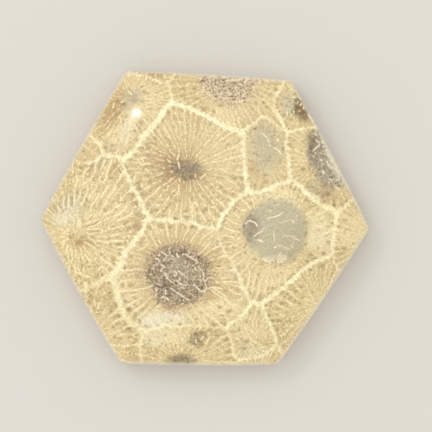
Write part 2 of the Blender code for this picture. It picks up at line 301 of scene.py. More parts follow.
septa(0.08, 1,((-5.4,4.4),(-5.05,4.25)),((-4.75,3.1),(-4.45,3.25)),((-4.05,2.85),(-4.25,2.6),(-4.6,2.25),
(-5,1.95),(-5.3,1.7),(-5.5,1.45)),((-3.3,2.95),(-3.4,2.65),(-3.45,2.5)),((-3.85,2.5),(-3.6,2.5)),
((-2.7,2.55),(-3,2.35)),((-2.35,3),(-2.35,2.7),(-2.5,2.15),(-2.8,2)),
((-3.25,1.95),(-3.4,1.65),(-3.6,1.4),(-3.85,1.1)),((-4,2.1),(-4.1,1.9)),
((-4.35,1.25),(-4.25,1.08),(-4.12,1.2)),((-4,0.85),(-4.05,0.65),(-4.25,0.45),(-4.4,0.2)),
((-3.15,0.8),(-3.2,0.5),(-3.25,0.15),(-3.25,-0.05)),((-2.15,0.75),(-2.2,0.5),(-2.15,0.1),(-2.1,-0.15)),
((-1.45,1.75),(-1.3,1.45),(-1.3,1.2),(-1.35,1)),((-0.9,1.45),(-0.65,1.1)),((-1.2,1),(-1,1.3),(-0.95,1.5)),
((-0.45,2.15),(-0.35,1.85),(-0.1,1.55)),((-1.15,0.85),(-1.15,0.4),(-1.1,0.1),(-1.15,-0.25)),
((-0.45,0.6),(-0.25,0.3),(-0.1,0),(0.1,-0.25)),((-1.85,0.35),(-1.5,0.4)),((-1.05,2.25),(-1,2)),
((-2.3,3.6),(-2.3,3.35)),((-4.05,3.95),(-3.8,4.15)),((2,3.5),(2.3,3.35),(2.6,3.15),(2.8,3.1)),
((1.05,3.35),(1.25,3.25),(1.6,3.1),(1.75,2.95)),((0.5,3.15),(0.8,3)),((1,2.7),(1.2,2.85)),
((0,2.95),(0.2,2.75),(0.35,2.6)),((2.15,2.7),(2.35,2.7)),((1.1,2.45),(1.35,2.5),(1.55,2.2)),
((0.5,2.4),(0.6,2.15),(0.75,2.05)),((1.05,1.7),(1.25,1.55),(1.6,1.3),(1.75,1.05)),((2.1,1.95),(2.3,1.8)),
((-0.75,1.45),(-0.65,1.2)),((-0.1,1.25),(0.1,1.1)),((0.6,0.97),(0.95,1)),((1.05,0.75),(1.25,0.55)),
((0.35,0.8),(0.45,0.4),(0.75,0.05),(0.95,-0.2)),((-3.45,6.7),(-3.3,6.5)),((-5.4,6.05),(-5.05,6)),
((-4.1,6.1),(-4,6)),((-4.1,5.7),(-3.95,5.65)),((-3.25,5.6),(-3.15,5.5)),((-3.4,5.3),(-3.1,5.05)),
((-5.7,5.5),(-5.35,5.45)),((-5.75,5.4),(-5.6,5.15)),((-5.65,4.8),(-5.4,4.95),(-5,4.95)),
((-3.75,4.55),(-3.65,4.5)),((-6.3,4.15),(-5.9,4.1)),((-5.6,3.55),(-5.1,3.5)),
((-6.5,3.2),(-6.4,3.5),(-6.3,3.9)),((-4.1,3.4),(-4,3.35)),((-5.7,3.1),(-5.7,2.85)),((-2.4,5.1),(-2.3,4.5)),
((-0.85,4),(-0.85,3.7)),((2.6,0.45),(3.1,0.05)),((2,0),(2.35,-0.3),(2.9,-0.55)),((2.2,-1.05),(2.7,-1.2)),
((-8.65,-8.95),(-8.4,-8.75),(-8,-8.4)),((-8.45,-9.65),(-8,-9.3),(-7.6,-9.15)),
((-7.9,-10.75),(-7.5,-10.6),(-7.1,-10.55)),((-8.15,-6.58),(-8.1,-6.62)),
((-7,-7.9),(-6.5,-7.65),(-6.2,-7.5)),((-6.4,-8.45),(-6,-8.1)),((-9.1,-8.3),(-9.2,-8.7)),
((1.75,-0.88),(2.15,-1.03),(2.6,-1.2),(2.75,-1.25)),((1.5,-1.6),(2,-1.58),(2.4,-1.7),(2.65,-1.8)),
((3,-1.95),(3.2,-1.75)),((2.55,-2.45),(3,-2.5)),((2.25,-2.6),(2.4,-2.55)),((2.95,-1.22),(3.15,-1.3)),
((3.4,1.63),(3.8,1.3),(3.95,1.05),(4.15,0.85)),((4.3,1.75),(4.5,1.2)),((3.3,0.7),(3.8,0.72)),
((3.15,-3.05),(2.65,-3.4),(2.45,-3.65)),((3.65,-3.7),(3.25,-4),(2.95,-4.25)),
((4,-4.1),(3.85,-4.35),(3.7,-4.7)),((4.1,-4.85),(4.07,-5.3),(4,-5.65),(3.9,-6.05),(3.8,-6.35)),((4.55,-5),
(4.6,-5.35),(4.45,-5.85),(4.37,-6.25),(4.35,-6.75)),((5.4,-5.15),(5.25,-5.5),(5.05,-5.9),(4.95,-6.25),
(4.85,-6.85),(4.7,-7.15)),((5.85,-5.05),(5.7,-5.3),(5.6,-5.75),(5.65,-6.1),(5.5,-6.5),(5.45,-6.85)),
((6.2,-5.6),(6.1,-5.95),(6.05,-6.2)),((6.75,-5.6),(6.75,-5.85)),((7.35,-5.2),(7.3,-5.65)),
((7.75,-4.8),(7.7,-5.05)),((6.2,-4.6),(6.18,-4.8)),((8.35,-6.35),(8.6,-6.55),(8.75,-6.8)),
((7.85,-6.95),(8.1,-7.05),(8.3,-7.3)),((7.55,-7.5),(7.8,-7.7),(8.1,-8)),((7.05,-7.25),(6.6,-7.2)),
((6.55,-7.8),(6.95,-8.1)),((4.5,-1.65),(4.8,-1.45),(5.2,-1.22)),((6.65,-3.85),(6.66,-3.95)),
((6.95,-4),(6.96,-4.05)),((3.72,-0.52),(3.9,-0.3),(4.11,-0.24),(4.57,-0.41),(4.8,-0.75)),
((5.7,-0.02),(6.1,0.05),(6.5,0.16),(6.8,0.28),(7.07,0.5)),((5.25,-3.7),(5.5,-3.95)),
((5.5,-3.6),(5.6,-3.95)),((5.75,-3.9),(5.95,-4.1)),((6.2,-3.7),(6.3,-4)),((6.55,-3.6),(6.7,-4.05)),
((6.75,-3.4),(6.85,-3.95)),((6.95,-3.5),(7.05,-4)),((7.1,-3.4),(7.2,-3.8)),((7.3,-3.45),(7.4,-3.85)),
((-9.6,2.3),(-9.75,1.9),(-10,1.55),(-10.2,1.3),(-10.35,1),(-10.4,0.65)),((-8.8,1.6),(-9.1,1.17),
(-9.33,0.93),(-9.44,0.63),(-9.62,0.25)),((-10.1,2.46),(-10.26,2.26),(-10.4,2),(-10.55,1.6)),((-10.7,2.3),
(-10.82,2.05),(-11,1.6),(-11.08,1.33),(-11.23,1.1)),((-11.35,2.5),(-11.31,2.1),(-11.47,1.83),(-11.66,1.6)),
((-11.86,2.57),(-11.82,2.18),(-11.88,1.8),(-11.86,1.17)),((-12.33,2.1),(-12.4,1.7),(-12.42,0.97)),
((-12.75,1.95),(-12.85,1.4),(-12.8,0.94)),((-13.34,1.1),(-13.3,0.86),(-13.1,0.6)),
((-9.68,5.45),(-9.9,5.1),(-9.98,4.6),(-9.97,4.1)),((-9.1,5.3),(-9.17,5),(-9.33,4.68),(-9.46,4.4)),
((-10.5,4.55),(-10.8,4.36),(-11,4.05),(-11.1,3.58)),((-9.56,3.8),(-9.6,3.5),(-9.4,3.27),(-9.13,3.2)),
((-10.26,3.8),(-10.3,3.58),(-10.57,3.35),(-10.88,3.2),(-11.15,3)),((-10.7,2.96),(-10.6,2.7),(-10.73,2.4)),
((-11.5,3.5),(-11.66,3.27),(-11.8,2.8)),((-11.7,3.9),(-11.62,3.58)),((-10.52,-0.8),(-10.22,-0.72),
(-9.92,-0.61),(-9.62,-0.46),(-9.4,-0.3)),((-10.82,-0.53),(-10.5,-0.42),(-10.07,-0.27),(-9.8,-0.12)),
((-10.86,0.07),(-10.82,0.3),(-10.68,0.42)),((-10.79,-0.08),(-10.55,-0.03),(-10.37,0.18),(-10.3,0.35)),
((-10.63,-1.06),(-10.37,-0.99),(-9.95,-1),(-9.4,-1),(-9.3,-1.2),(-9.45,-1.4)),
((-10.8,-1.3),(-10.52,-1.48),(-10.22,-1.48),(-9.96,-1.36)),((-8.75,-0.7),(-8.75,-1)),
((-9.35,-1.7),(-9.2,-1.62),(-8.94,-1.74)),((-10.63,-1.67),(-10.4,-1.88),(-10.1,-2.05),(-9.9,-2.25)),
((-10.9,-2.2),(-10.7,-2.3),(-10.45,-2.47),(-10.17,-2.64),(-9.94,-2.82)),
((-11.03,-2.6),(-10.9,-2.83),(-10.8,-3.03)),((-10.64,-3.06),(-10.52,-3.26),(-10.44,-3.4)),
((-9.94,-3.18),(-9.78,-3.38)),((-9.4,-3.03),(-9.2,-3.14)),((-8.8,-3.6),(-8.57,-3.85)),
((-9.24,-4.5),(-8.96,-4.7),(-8.77,-4.97)),((-11.15,-3.5),(-11.08,-3.75)),
((-11.46,-3.4),(-11.5,-3.7),(-11.42,-4.04)),((-11.7,-2.87),(-11.7,-3.18),(-11.75,-3.55)),
((-12.16,-2.5),(-12.2,-2.95)),((-12.43,-2.4),(-12.52,-2.75),(-12.66,-3.3)),
((-12.65,-2.05),(-12.86,-2.44),(-12.94,-2.7)),((-12.04,-2.95),(-12.1,-3.34),(-12.04,-3.73),(-12.18,-4.1)),
((-12.4,-3.1),(-12.43,-3.5),(-12.3,-3.9)),((-11.57,-4.5),(-11.42,-4.78),(-11.3,-4.95)),
((-9,-5.2),(-9.24,-5.48),(-9.5,-5.6)),((-11.55,0.4),(-11.48,-0.3),(-11.6,-0.75)),
((-11.3,-0.1),(-11.35,-0.9)),((-12,0.1),(-11.85,-0.4),(-11.95,-0.7)),
((-12.55,-1.25),(-12.9,-1.1),(-13.4,-0.95)),((-12.4,-1.45),(-12.95,-1.4)),((-12.35,-1.2),(-12.75,-0.6)),
((-12.5,-1.75),(-13.2,-1.7)),((-12.35,-1.9),(-12.75,-2.05),(-13.1,-2.3)),((-6.97,11.55),(-6.65,11.23)),
((-7.3,10.8),(-7.28,10.82)),((-5.17,11.65),(-5.15,11.67)),((-8.25,10.45),(-8.35,10)),
((-7.58,10.52),(-7.4,10.62)),((-7.6,8.7),(-7.6,9.1)),((-7.9,9.05),(-7.7,9.3)),
((-6.4,8.6),(-6.3,8.3),(-6.1,8.05)),((-5.55,9),(-5.35,8.75),(-5.25,8.55)),((3.1,12.15),(3.4,12.1)),
((2.8,11.8),(2.82,11.82)),((-0.35,11.45),(-0.1,11.5)),((0.1,11.4),(0.35,11.2),(0.7,10.95),(0.95,10.8)),
((0.85,11.85),(0.9,11.6)),((1.35,12.1),(1.36,12.12)),((1.55,11.4),(1.57,11.42)),((1.8,11.7),(1.81,11.72)),
((4.5,11.85),(4.4,11.6)),((4.95,12.6),(5,12.2)),((3.35,10.55),(3.5,10.7)),((2.2,10.55),(2.1,10.7)),
((1.05,10),(1.1,9.5)),((1.1,12.7),(1.12,12.72)),((5.12,7.75),(5.35,7.6),(5.68,7.3),(5.8,7.05),(5.83,6.85)),
((5.88,6.62),(5.95,6.6)),((6.3,6.38),(6.6,6.25),(6.8,6.05),(6.9,5.85)),((6.55,7.58),(6.57,7.58)),
)
septa(0.1, 0.9,((1.3,4.5),(1.7,4.35),(1.95,4.2),(2.15,4.1)),((-5.05,2.9),(-5.3,2.7),(-5.5,2.6)),
((-6.05,5.35),(-5.9,5),(-5.65,4.8)),((-5.4,4.45),(-5.05,4.25)),((-2.35,6.35),(-2.35,6)),
((-2.35,5.75),(-2.45,5.5),(-2.5,5.3)),((-0.4,3.6),(-0.2,3.75)),((-3.05,4.15),(-2.95,4.25)),
((-4.3,3.9),(-4.2,3.92)),((-3.9,1.65),(-3.9,1.66)),((-4.25,6.75),(-4.2,6.7)),((-4.3,6.3),(-4.28,6.32)),
((-4.2,4.8),(-4.15,4.82)),((-0.2,3.75),(0.1,4)),
)
septa(0.09, 1,((4.35,-11.13),(4.72,-11.35)),((6.8,-8.72),(7.2,-8.95)),((6.33,-8.95),(6.38,-8.97)),
((5,-11.8),(5.4,-11.75)),((-0.35,-11.08),(-0.15,-10.8)),((-0.8,-11.33),(-0.8,-11.08)),
((0.1,-11.45),(0.3,-11.1),(0.45,-10.88)),((-1.68,-10.35),(-1.6,-10.35)),((-5.07,-9.1),(-5.03,-9.12)),
((0.8,-9),(1.1,-9.35),(1.35,-9.55)),((5.08,1.8),(5.1,1.82)),((6.4,1.75),(6.7,1.95),(6.8,2.15)),
((8.15,1.45),(8.17,1.47)),((8.65,1.15),(8.5,0.95)),((8.8,1.4),(8.9,1.75)),((10.5,-1.67),(10.8,-1.5),
(11.15,-1.33),(11.4,-1.1),(11.7,-0.98)),((10.1,0.2),(10.35,0.38),(10.9,0.55)),((9.25,0.3),(9.8,0.65)),
((7.5,2.4),(7.4,2.25)),((10.45,6.65),(10.2,6.45),(10,6.25),(9.85,6.1)),((10.1,7.07),(10.4,6.85)),
((10,7.7),(10.15,7.55)),((10.55,5.85),(10.56,5.87)),((10.07,5.9),(10.08,5.92)),((9.9,5.6),(9.91,5.62)),
((10.5,5.3),(10.7,5.25)),((11.1,5.1),(11.25,4.8),(11.6,4.55)),((10.75,4.2),(10.76,4.22)),
((10.65,4.3),(10.9,4.05)),((9.87,3.7),(9.88,3.72)),((9.4,4),(9.3,3.9)),((11.4,3.55),(11.6,3.4)),
((12.1,3.5),(12.12,3.52)),((11.9,2.85),(12.05,2.7),(12.3,2.6)),((11.35,3.3),(11.36,3.32)),
((10.35,2.85),(10.4,2.85)),
)
septa(0.07, 0.9,((3.62,-9.9),(3.75,-10.2),(4,-10.62),(4.2,-11),(4.35,-11.13)),
((6.4,-7.75),(6.9,-8),(7.3,-8.2),(7.7,-8.45)),((7.35,-7.4),(7.65,-7.7),(7.9,-7.95)),
((8.2,-7.2),(8.5,-7.45)),((9.4,-6.7),(9.75,-7.2),(9.9,-7.45)),((4.35,-9.4),(4.4,-9.9)),
((4.7,-9.3),(4.68,-9.9)),((5.15,-11.05),(5.6,-10.75)),((5.2,-10.7),(5.5,-10.5)),((7.6,-6.6),(8,-6.85)),
((-5.5,-9.2),(-5.7,-9.5),(-5.6,-9.8)),((-5.25,-9),(-4.95,-9.15)),((-4.9,-9.5),(-4.65,-9.7)),
((-5.9,-10),(-5.6,-10.15)),((-4.3,-9.2),(-4,-9.4),(-3.95,-9.7)),((-3.5,-9.1),(-3.3,-9.4)),
((-4.75,-8.9),(-4.5,-9.05)),((-3,-9.2),(-2.75,-9.5)),
)
septa(0.06, 0.8,((-1.2,-12.4),(-0.95,-12.15)),((-0.85,-12.4),(-0.55,-12.1)),((-1,-12.75),(-0.6,-12.55)),
((0.5,-11.75),(0.75,-11.55),(1,-11.35)),((-1.25,-9.1),(-1.05,-9.5)),((-3.8,-12),(-3.45,-12.35)),
((-2.85,-11.4),(-2.8,-11.8)),((-3.3,-11.45),(-3.2,-11.8)),((-9.2,8.3),(-8.75,8.9)),((-8.9,8.1),(-8.5,8.75)),
((-8.75,7.4),(-8.5,7.9),(-8.2,8.5)),((-8.4,7),(-8.3,7.5),(-8.2,7.9)),((-8.9,7.3),(-8.75,7.8)),
((-7.95,7.9),(-7.9,8.4)),((-5.85,11.6),(-5.4,11.9)),((-5.4,10.85),(-4.7,10.85)),((-5.4,10.5),(-4.6,10.5)),
((-5.3,10.1),(-4.6,10.15)),((-5.2,9.7),(-4.5,9.65)),((-6.7,7.55),(-6.55,7.3)),
((5.2,10.87),(6.08,10),(6.51,9.24),(7.28,8.25)),((5.64,9.45),(6.3,8.75),(6.95,8.09)),
((-8.2,-6.6),(-6,-6.6)),
)
septa(0.11, 1,((5.35,-3.65),(5.4,-3.83),(5.65,-3.95),(6.05,-3.85)),((7.05,-3.6),(7.12,-3.8),(7.15,-3.4)),
((7.35,-3.4),(7.35,-3.7)),((5.35,-4.8),(5.36,-4.78)),((8.05,-4.2),(8.35,-4.1)),((8.75,-3.65),(8.74,-3.67)),
((6.35,-2.65),(6.45,-2.65)),((8.7,-5.85),(8.72,-5.85)),((4.85,-1.98),(5.25,-2.12)),((-8.47,5.2),(-8.6,4.8),
(-8.74,4.5),(-8.9,4.13),(-8.95,3.6),(-9.2,3.27)),((-8.08,2.96),(-8.23,2.6),(-8.4,2.34),(-8.62,2.1),
(-8.8,1.85)),((-8.78,2.96),(-8.9,2.7),(-9.1,2.4),(-9.3,2.2),(-9.4,1.87)),((-7.95,-0.25),(-7.58,-0.08),
(-7.28,0.03),(-6.98,0.18),(-6.6,0.42)),((-8.3,0.1),(-8.07,0.26),(-7.73,0.37),(-7.58,0.56),(-7.28,0.78),
(-7.08,1.1)),((-9.1,0.3),(-8.75,0.48),(-8.4,0.63),(-8.19,0.9),(-7.89,1.08),(-7.6,1.26)),
((-8.56,-1.67),(-8.3,-1.55),(-7.85,-1.48)),((-9.77,-2),(-9.43,-2.12),(-9.09,-2.2),(-8.79,-2.27)),
((-8.68,-2.12),(-8.3,-2.07),(-7.62,-2.08),(-7.4,-2.15)),((-11.3,-2.75),(-11.22,-3),(-11.18,-3.25)),
((-10.87,-3.38),(-10.72,-3.57),(-10.52,-3.77),(-10.25,-3.96)),((-9.47,-3.57),(-9.28,-3.77),(-9.08,-3.96),
(-8.77,-4.08),(-8.5,-4.27),(-8.2,-4.45)),((-9.35,-4.35),(-9.55,-4.58),(-9.7,-4.72)),
((-11.93,-4.3),(-11.8,-4.58),(-11.73,-4.95)),((-12.28,-4.35),(-12.3,-4.74),(-12.4,-4.97)),
((-11.5,-5),(-11.18,-5.13),(-10.95,-5.25),(-10.5,-5.38)),((-7.95,-2.68),(-7.62,-2.63),(-7.3,-2.72)),
((-7.4,-1.72),(-7.3,-1.8)),((-7.1,-2.1),(-7,-2.1)),
)
septa(0.16, 0.55,((6.8,-3.3),(6.85,-3.2)),((6.2,-3.55),(6.3,-3.5)),((6.8,-2.55),(6.95,-2.5)),
((7.2,-2.65),(7.45,-2.85)),((7.9,-2.5),(7.92,-2.6)),
)
septa(0.06, 0.6,((6.84,-0.46),(7.52,-0.24),(8.43,-0.18)),((4.8,-1.37),(5.3,-1.05),(5.82,-0.75)),
((4.4,-2),(5.25,-2.06)),((6.5,-2.45),(7.3,-2.6),(7.75,-2.85)),((7.07,-1.66),(7.75,-1.6),(8.3,-1.7)),
((8,-2.2),(8.1,-2.3)),
)
septa(0.22, 0.5,((5.4,-3.65),(6.3,-3.55),(7.3,-3.5)),
)
septa(0.07, 0.8,((9.85,-0.2),(10.3,-0.07),(10.8,0)),((9.85,-0.65),(10.55,-0.8),(10.95,-0.5),(11.1,-0.3)),
((9.95,-0.95),(10.45,-0.85)),((9.6,-2.85),(9.62,-2.87)),((6.3,1.1),(6.8,1.3)),((5.9,0.7),(6.05,0.6)),
((6.27,-1.26),(6.33,-2.1)),((8.05,-1.8),(8.35,-1.95),(8.6,-2.05)),
)
septa(0.16, 0.6,((9.4,-1.65),(9.95,-1.65)),((8.05,-0.35),(8.1,-0.35)),
)
septa(0.22, 0.8,((9.6,2.2),(10.4,1.75)),((11.2,1.1),(11.8,0.7)),((10.75,6.9),(10.77,6.95)),
((11.9,4.75),(12.2,4.1)),
)
septa(0.07, 1,((-0.53,-3.32),(-0.11,-2.91),(0.15,-2.6),(0.51,-2.18)),
((-0.53,-2.44),(-0.27,-1.92),(0.05,-1.61),(0.77,-1.14)),
((-1.3,-2.29),(-1.05,-1.77),(-0.73,-1.35),(-0.53,-0.94)),
((-1.98,-2.03),(-1.77,-1.45),(-1.51,-1.09),(-1.41,-0.68)),((-2.6,-1.82),(-2.63,-1.14),(-2.47,-0.47)),
((-3.3,-1.71),(-3.43,-1.09),(-3.49,-0.57)),((-4.1,-1.45),(-4.37,-1.14),(-4.48,-0.68)),
((-4.27,-2.6),(-4.6,-2.15),(-4.84,-1.66),(-4.9,-1.25)),((-5.1,-2.3),(-5.5,-2.7),(-5.95,-2.9)),
((-4.74,-6.15),(-5.33,-6.38),(-6.14,-6.5),(-7.02,-6.61),(-8,-6.73)),
((-4.97,-8.07),(-5.5,-8.6),(-6.03,-9.07)),((-4.15,-8.9),(-4.4,-9.5)),((-0.44,-8.12),(0.12,-8.64),
(0.6,-9.08),(1.08,-9.44),(1.8,-9.96)),((0.2,-7.96),(0.68,-8.2),(1,-8.44),(1.24,-8.64),(1.8,-8.68)),
((1.5,-8.4),(2,-8)),((1.8,-7.3),(2.2,-7.68),(2.52,-8.04),(2.92,-8.44)),((0.3,-6.4),(0.65,-6.3),
(1.24,-6.65),(1.66,-6.95),(2.05,-7.2)),((0.6,-6.55),(1,-6.85),(1.5,-7.2)),
((0.72,-6.28),(1.24,-6.36),(1.56,-6.4)),((1.6,-5.8),(2.6,-5.8),(3.2,-5.9)),((1.5,-5.5),(2,-5.45)),
((2.2,-6.5),(2.76,-6.84),(3.3,-6.96)),((3,-7.48),(3.44,-7.28)),((0.96,-4.5),(1.4,-4.6),(1.8,-4.36)),
((1.16,-3.72),(1.4,-3.56),(1.72,-3.4)),((1.6,-3.56),(2.04,-3.36)),
((-3.98,-3.03),(-3.71,-3.2),(-3.49,-3.38),(-3.3,-3.43)),((-3.2,-3.25),(-3.13,-3.07)),
((-3.13,-3.43),(-2.86,-3.47)),((-2.05,-3.3),(-1.74,-3.3),(-1.51,-3.47),(-1.24,-3.56),(-1.07,-3.74),
(-0.75,-3.88),(-0.66,-4)),((-1.54,-2.65),(-1.53,-2.66)),((-2.05,-2.58),(-2.04,-2.59)),
((-3.26,-2.85),(-3.13,-2.7)),((-1.47,-3.03),(-1.33,-3.16)),((-4.2,-3.43),(-4.07,-3.36)),
((-4.52,-3.7),(-4.25,-3.7),(-4.1,-3.88)),((-3.76,-3.83),(-3.62,-3.83),(-3.5,-3.52)),
((-3.85,-4.6),(-4.03,-4.82)),((-3.58,-5.09),(-3.44,-5.36),(-3.22,-5.67),(-2.95,-5.85)),
((-2.55,-5.67),(-2.41,-5.8)),((-2.41,-4.78),(-2.19,-5),(-1.69,-5.36)),((-2.68,-4.82),(-2.55,-5.04)),
((-0.3,-6.7),(0.01,-6.57),(0.15,-6.39),(0.1,-6.08),(0.01,-5.99)),((-0.12,-5.45),(-0.12,-5.63),(0.01,-5.8)),
((0.1,-5.76),(0.28,-5.45),(0.42,-5.4),(0.64,-5.45),(0.86,-5.54)),((-0.89,-4.5),(-0.7,-4.82)),
((-0.62,-4.42),(-0.21,-4.82)),((-0.17,-5.04),(-0.08,-5.3)),((-4.38,-5.94),(-4.12,-6.08)),
((-3.13,-6.35),(-2.77,-6.61),(-2.41,-6.84),(-2,-7.15)),((-3.89,-7.56),(-3.88,-7.57)),
((-2.95,-7.5),(-2.94,-7.51)),((-1.96,-7.74),(-2.14,-7.87)),((-1.96,-7.1),(-1.69,-7.33),(-1.42,-7.5)),
((-12.75,0.55),(-12.6,0.4)),((-12.5,0.75),(-12.35,0.6)),((-12.3,0.35),(-12.2,0.1)),
((-12.6,0.1),(-12.5,-0.05)),((-12.1,0.7),(-12,0.5)),((-11.85,0.35),(-11.75,0.15)),((-12.85,0.2),(-12.8,0)),
((-12,0),(-11.9,-0.2)),((-13,-0.25),(-12.6,-0.35)),((-11.6,0.6),(-11.5,0.75)),((-11.35,1.3),(-11.2,1.45)),
((-12.2,1),(-12.15,0.9)),((-13.3,0.1),(-13.1,0.2)),
)
septa(0.09, 0.95,((-2.55,-3.25),(-2.46,-3.47),(-2.32,-3.6)),((-3.98,-4.24),(-3.71,-4.37),(-3.67,-4.5)),
((-2.32,-5.94),(-1.96,-6.08),(-1.69,-6.1)),((-2.28,-5.4),(-2.28,-5.63)),((-2.77,-5.27),(-2.64,-5.22)),
((-0.98,-6.03),(-0.89,-6.12)),((-0.84,-6.17),(-0.62,-6.39),(-0.44,-6.61),(-0.3,-6.7)),
((-0.03,-6.8),(-0.02,-6.8)),((-3.58,-6.57),(-3.53,-6.93)),((-4.47,-6.43),(-4.38,-6.6)),
((-4.43,-6.88),(-4.47,-7.15)),((-3.85,-7.15),(-3.49,-7.24),(-3.3,-7.47)),
)
septa(0.07, 0.75,((-5.76,-7.25),(-6.19,-7.47),(-6.38,-7.62),(-6.64,-7.76),(-6.9,-7.94),(-7.2,-8.05)),
((-5.5,-7.85),(-5.73,-8.04),(-6.02,-8.17),(-6.25,-8.37),(-6.45,-8.53),(-6.64,-8.69)),
((-0.91,-8.5),(-0.64,-8.73),(-0.44,-9.08),(-0.21,-9.43)),((-1.65,-8.69),(-1.34,-8.85),(-1.18,-9.08),
(-0.99,-9.43),(-0.87,-9.7)),((-2.04,-8.69),(-2,-9),(-1.96,-9.32),(-1.88,-9.63)),
((-2.5,-8.7),(-2.7,-9.08),(-2.78,-9.43),(-2.82,-9.82)),((0.88,-7.52),(1.19,-7.76),(1.58,-7.9)),
((-0.64,-7.88),(-0.4,-7.84),(-0.2,-7.64)),((-0.37,-7.37),(-0.2,-7.25)),((1.75,-8.85),(2,-8.85)),
((-4.95,-6.75),(-5.2,-6.9)),((-5,-5.15),(-4.9,-5.08)),((-4.9,-8.76),(-5.12,-9.15),(-5.3,-9.2)),
((-4.45,-8.4),(-4.2,-8.43)),
)
septa(0.1, 0.55,((-7.6,-5.8),(-7.15,-5.65),(-6.8,-5.65),(-6.3,-5.55)),((-7.13,-5.9),(-7.13,-6.2)),
((-5.95,-5.9),(-6.15,-5.95)),((-6.9,-5.15),(-6.5,-5.1)),
((-5.96,-6.87),(-6.25,-6.94),(-6.64,-7.03),(-6.9,-7.17)),((-2.4,-9.15),(-2.2,-9.3),(-2.35,-9.4)),
((-2.43,-8.38),(-2.2,-8.5)),
)
septa(0.12, 1,((2,12.5),(2.45,12.55),(3,12.55),(3.25,12.6)),((1.55,12.85),(1.9,12.85)),
((3.95,12.7),(3.6,12.3)),((-0.1,11.95),(-0.1,11.6)),
)
septa(0.17, 0.9,((6.6,7.15),(6.63,7.05)),
)
septa(0.06, 0.7,((6.55,8.1),(6.95,7.85)),((6.1,7.65),(6.12,7.55)),((4.4,7.85),(4.45,7.6)),
((4.85,4.5),(5,4.6)),((5.73,4.33),(5.76,4.36)),((5.05,4.15),(5.15,4.12)),
)
septa(0.1, 1,((8.48,10.55),(8.4,10.4)),((8.8,10.4),(8.68,10.25)),((8.65,10.85),(8.66,10.87)),
((8.6,9.7),(8.62,9.72)),((8.1,9.65),(8.12,9.66)),((7.85,9.35),(7.86,9.36)),((7.95,11),(8.2,10.97)),
((7.5,9.6),(7.48,9.4)),((9,10.1),(9,9.95)),((8.48,11),(8.5,11.02)),((9.4,9.4),(9.65,9),(9.9,8.6)),
)
septa(0.16, 1,((11.08,6.15),(11.12,6.15)),((11.18,5.77),(11.22,5.77)),((11.5,5.45),(11.65,5.15)),
((8.7,3),(8.9,2.6),(9.2,2.3)),
)
septa(0.16, 0.8,((12.1,0.9),(12.15,0.1)),
)
septa(0.25, 0.9,((-4.3,8.9),(-4.35,8.85)),((-5,8.2),(-5.1,8.1)),((-5.8,7.45),(-5.9,7.35)),
)
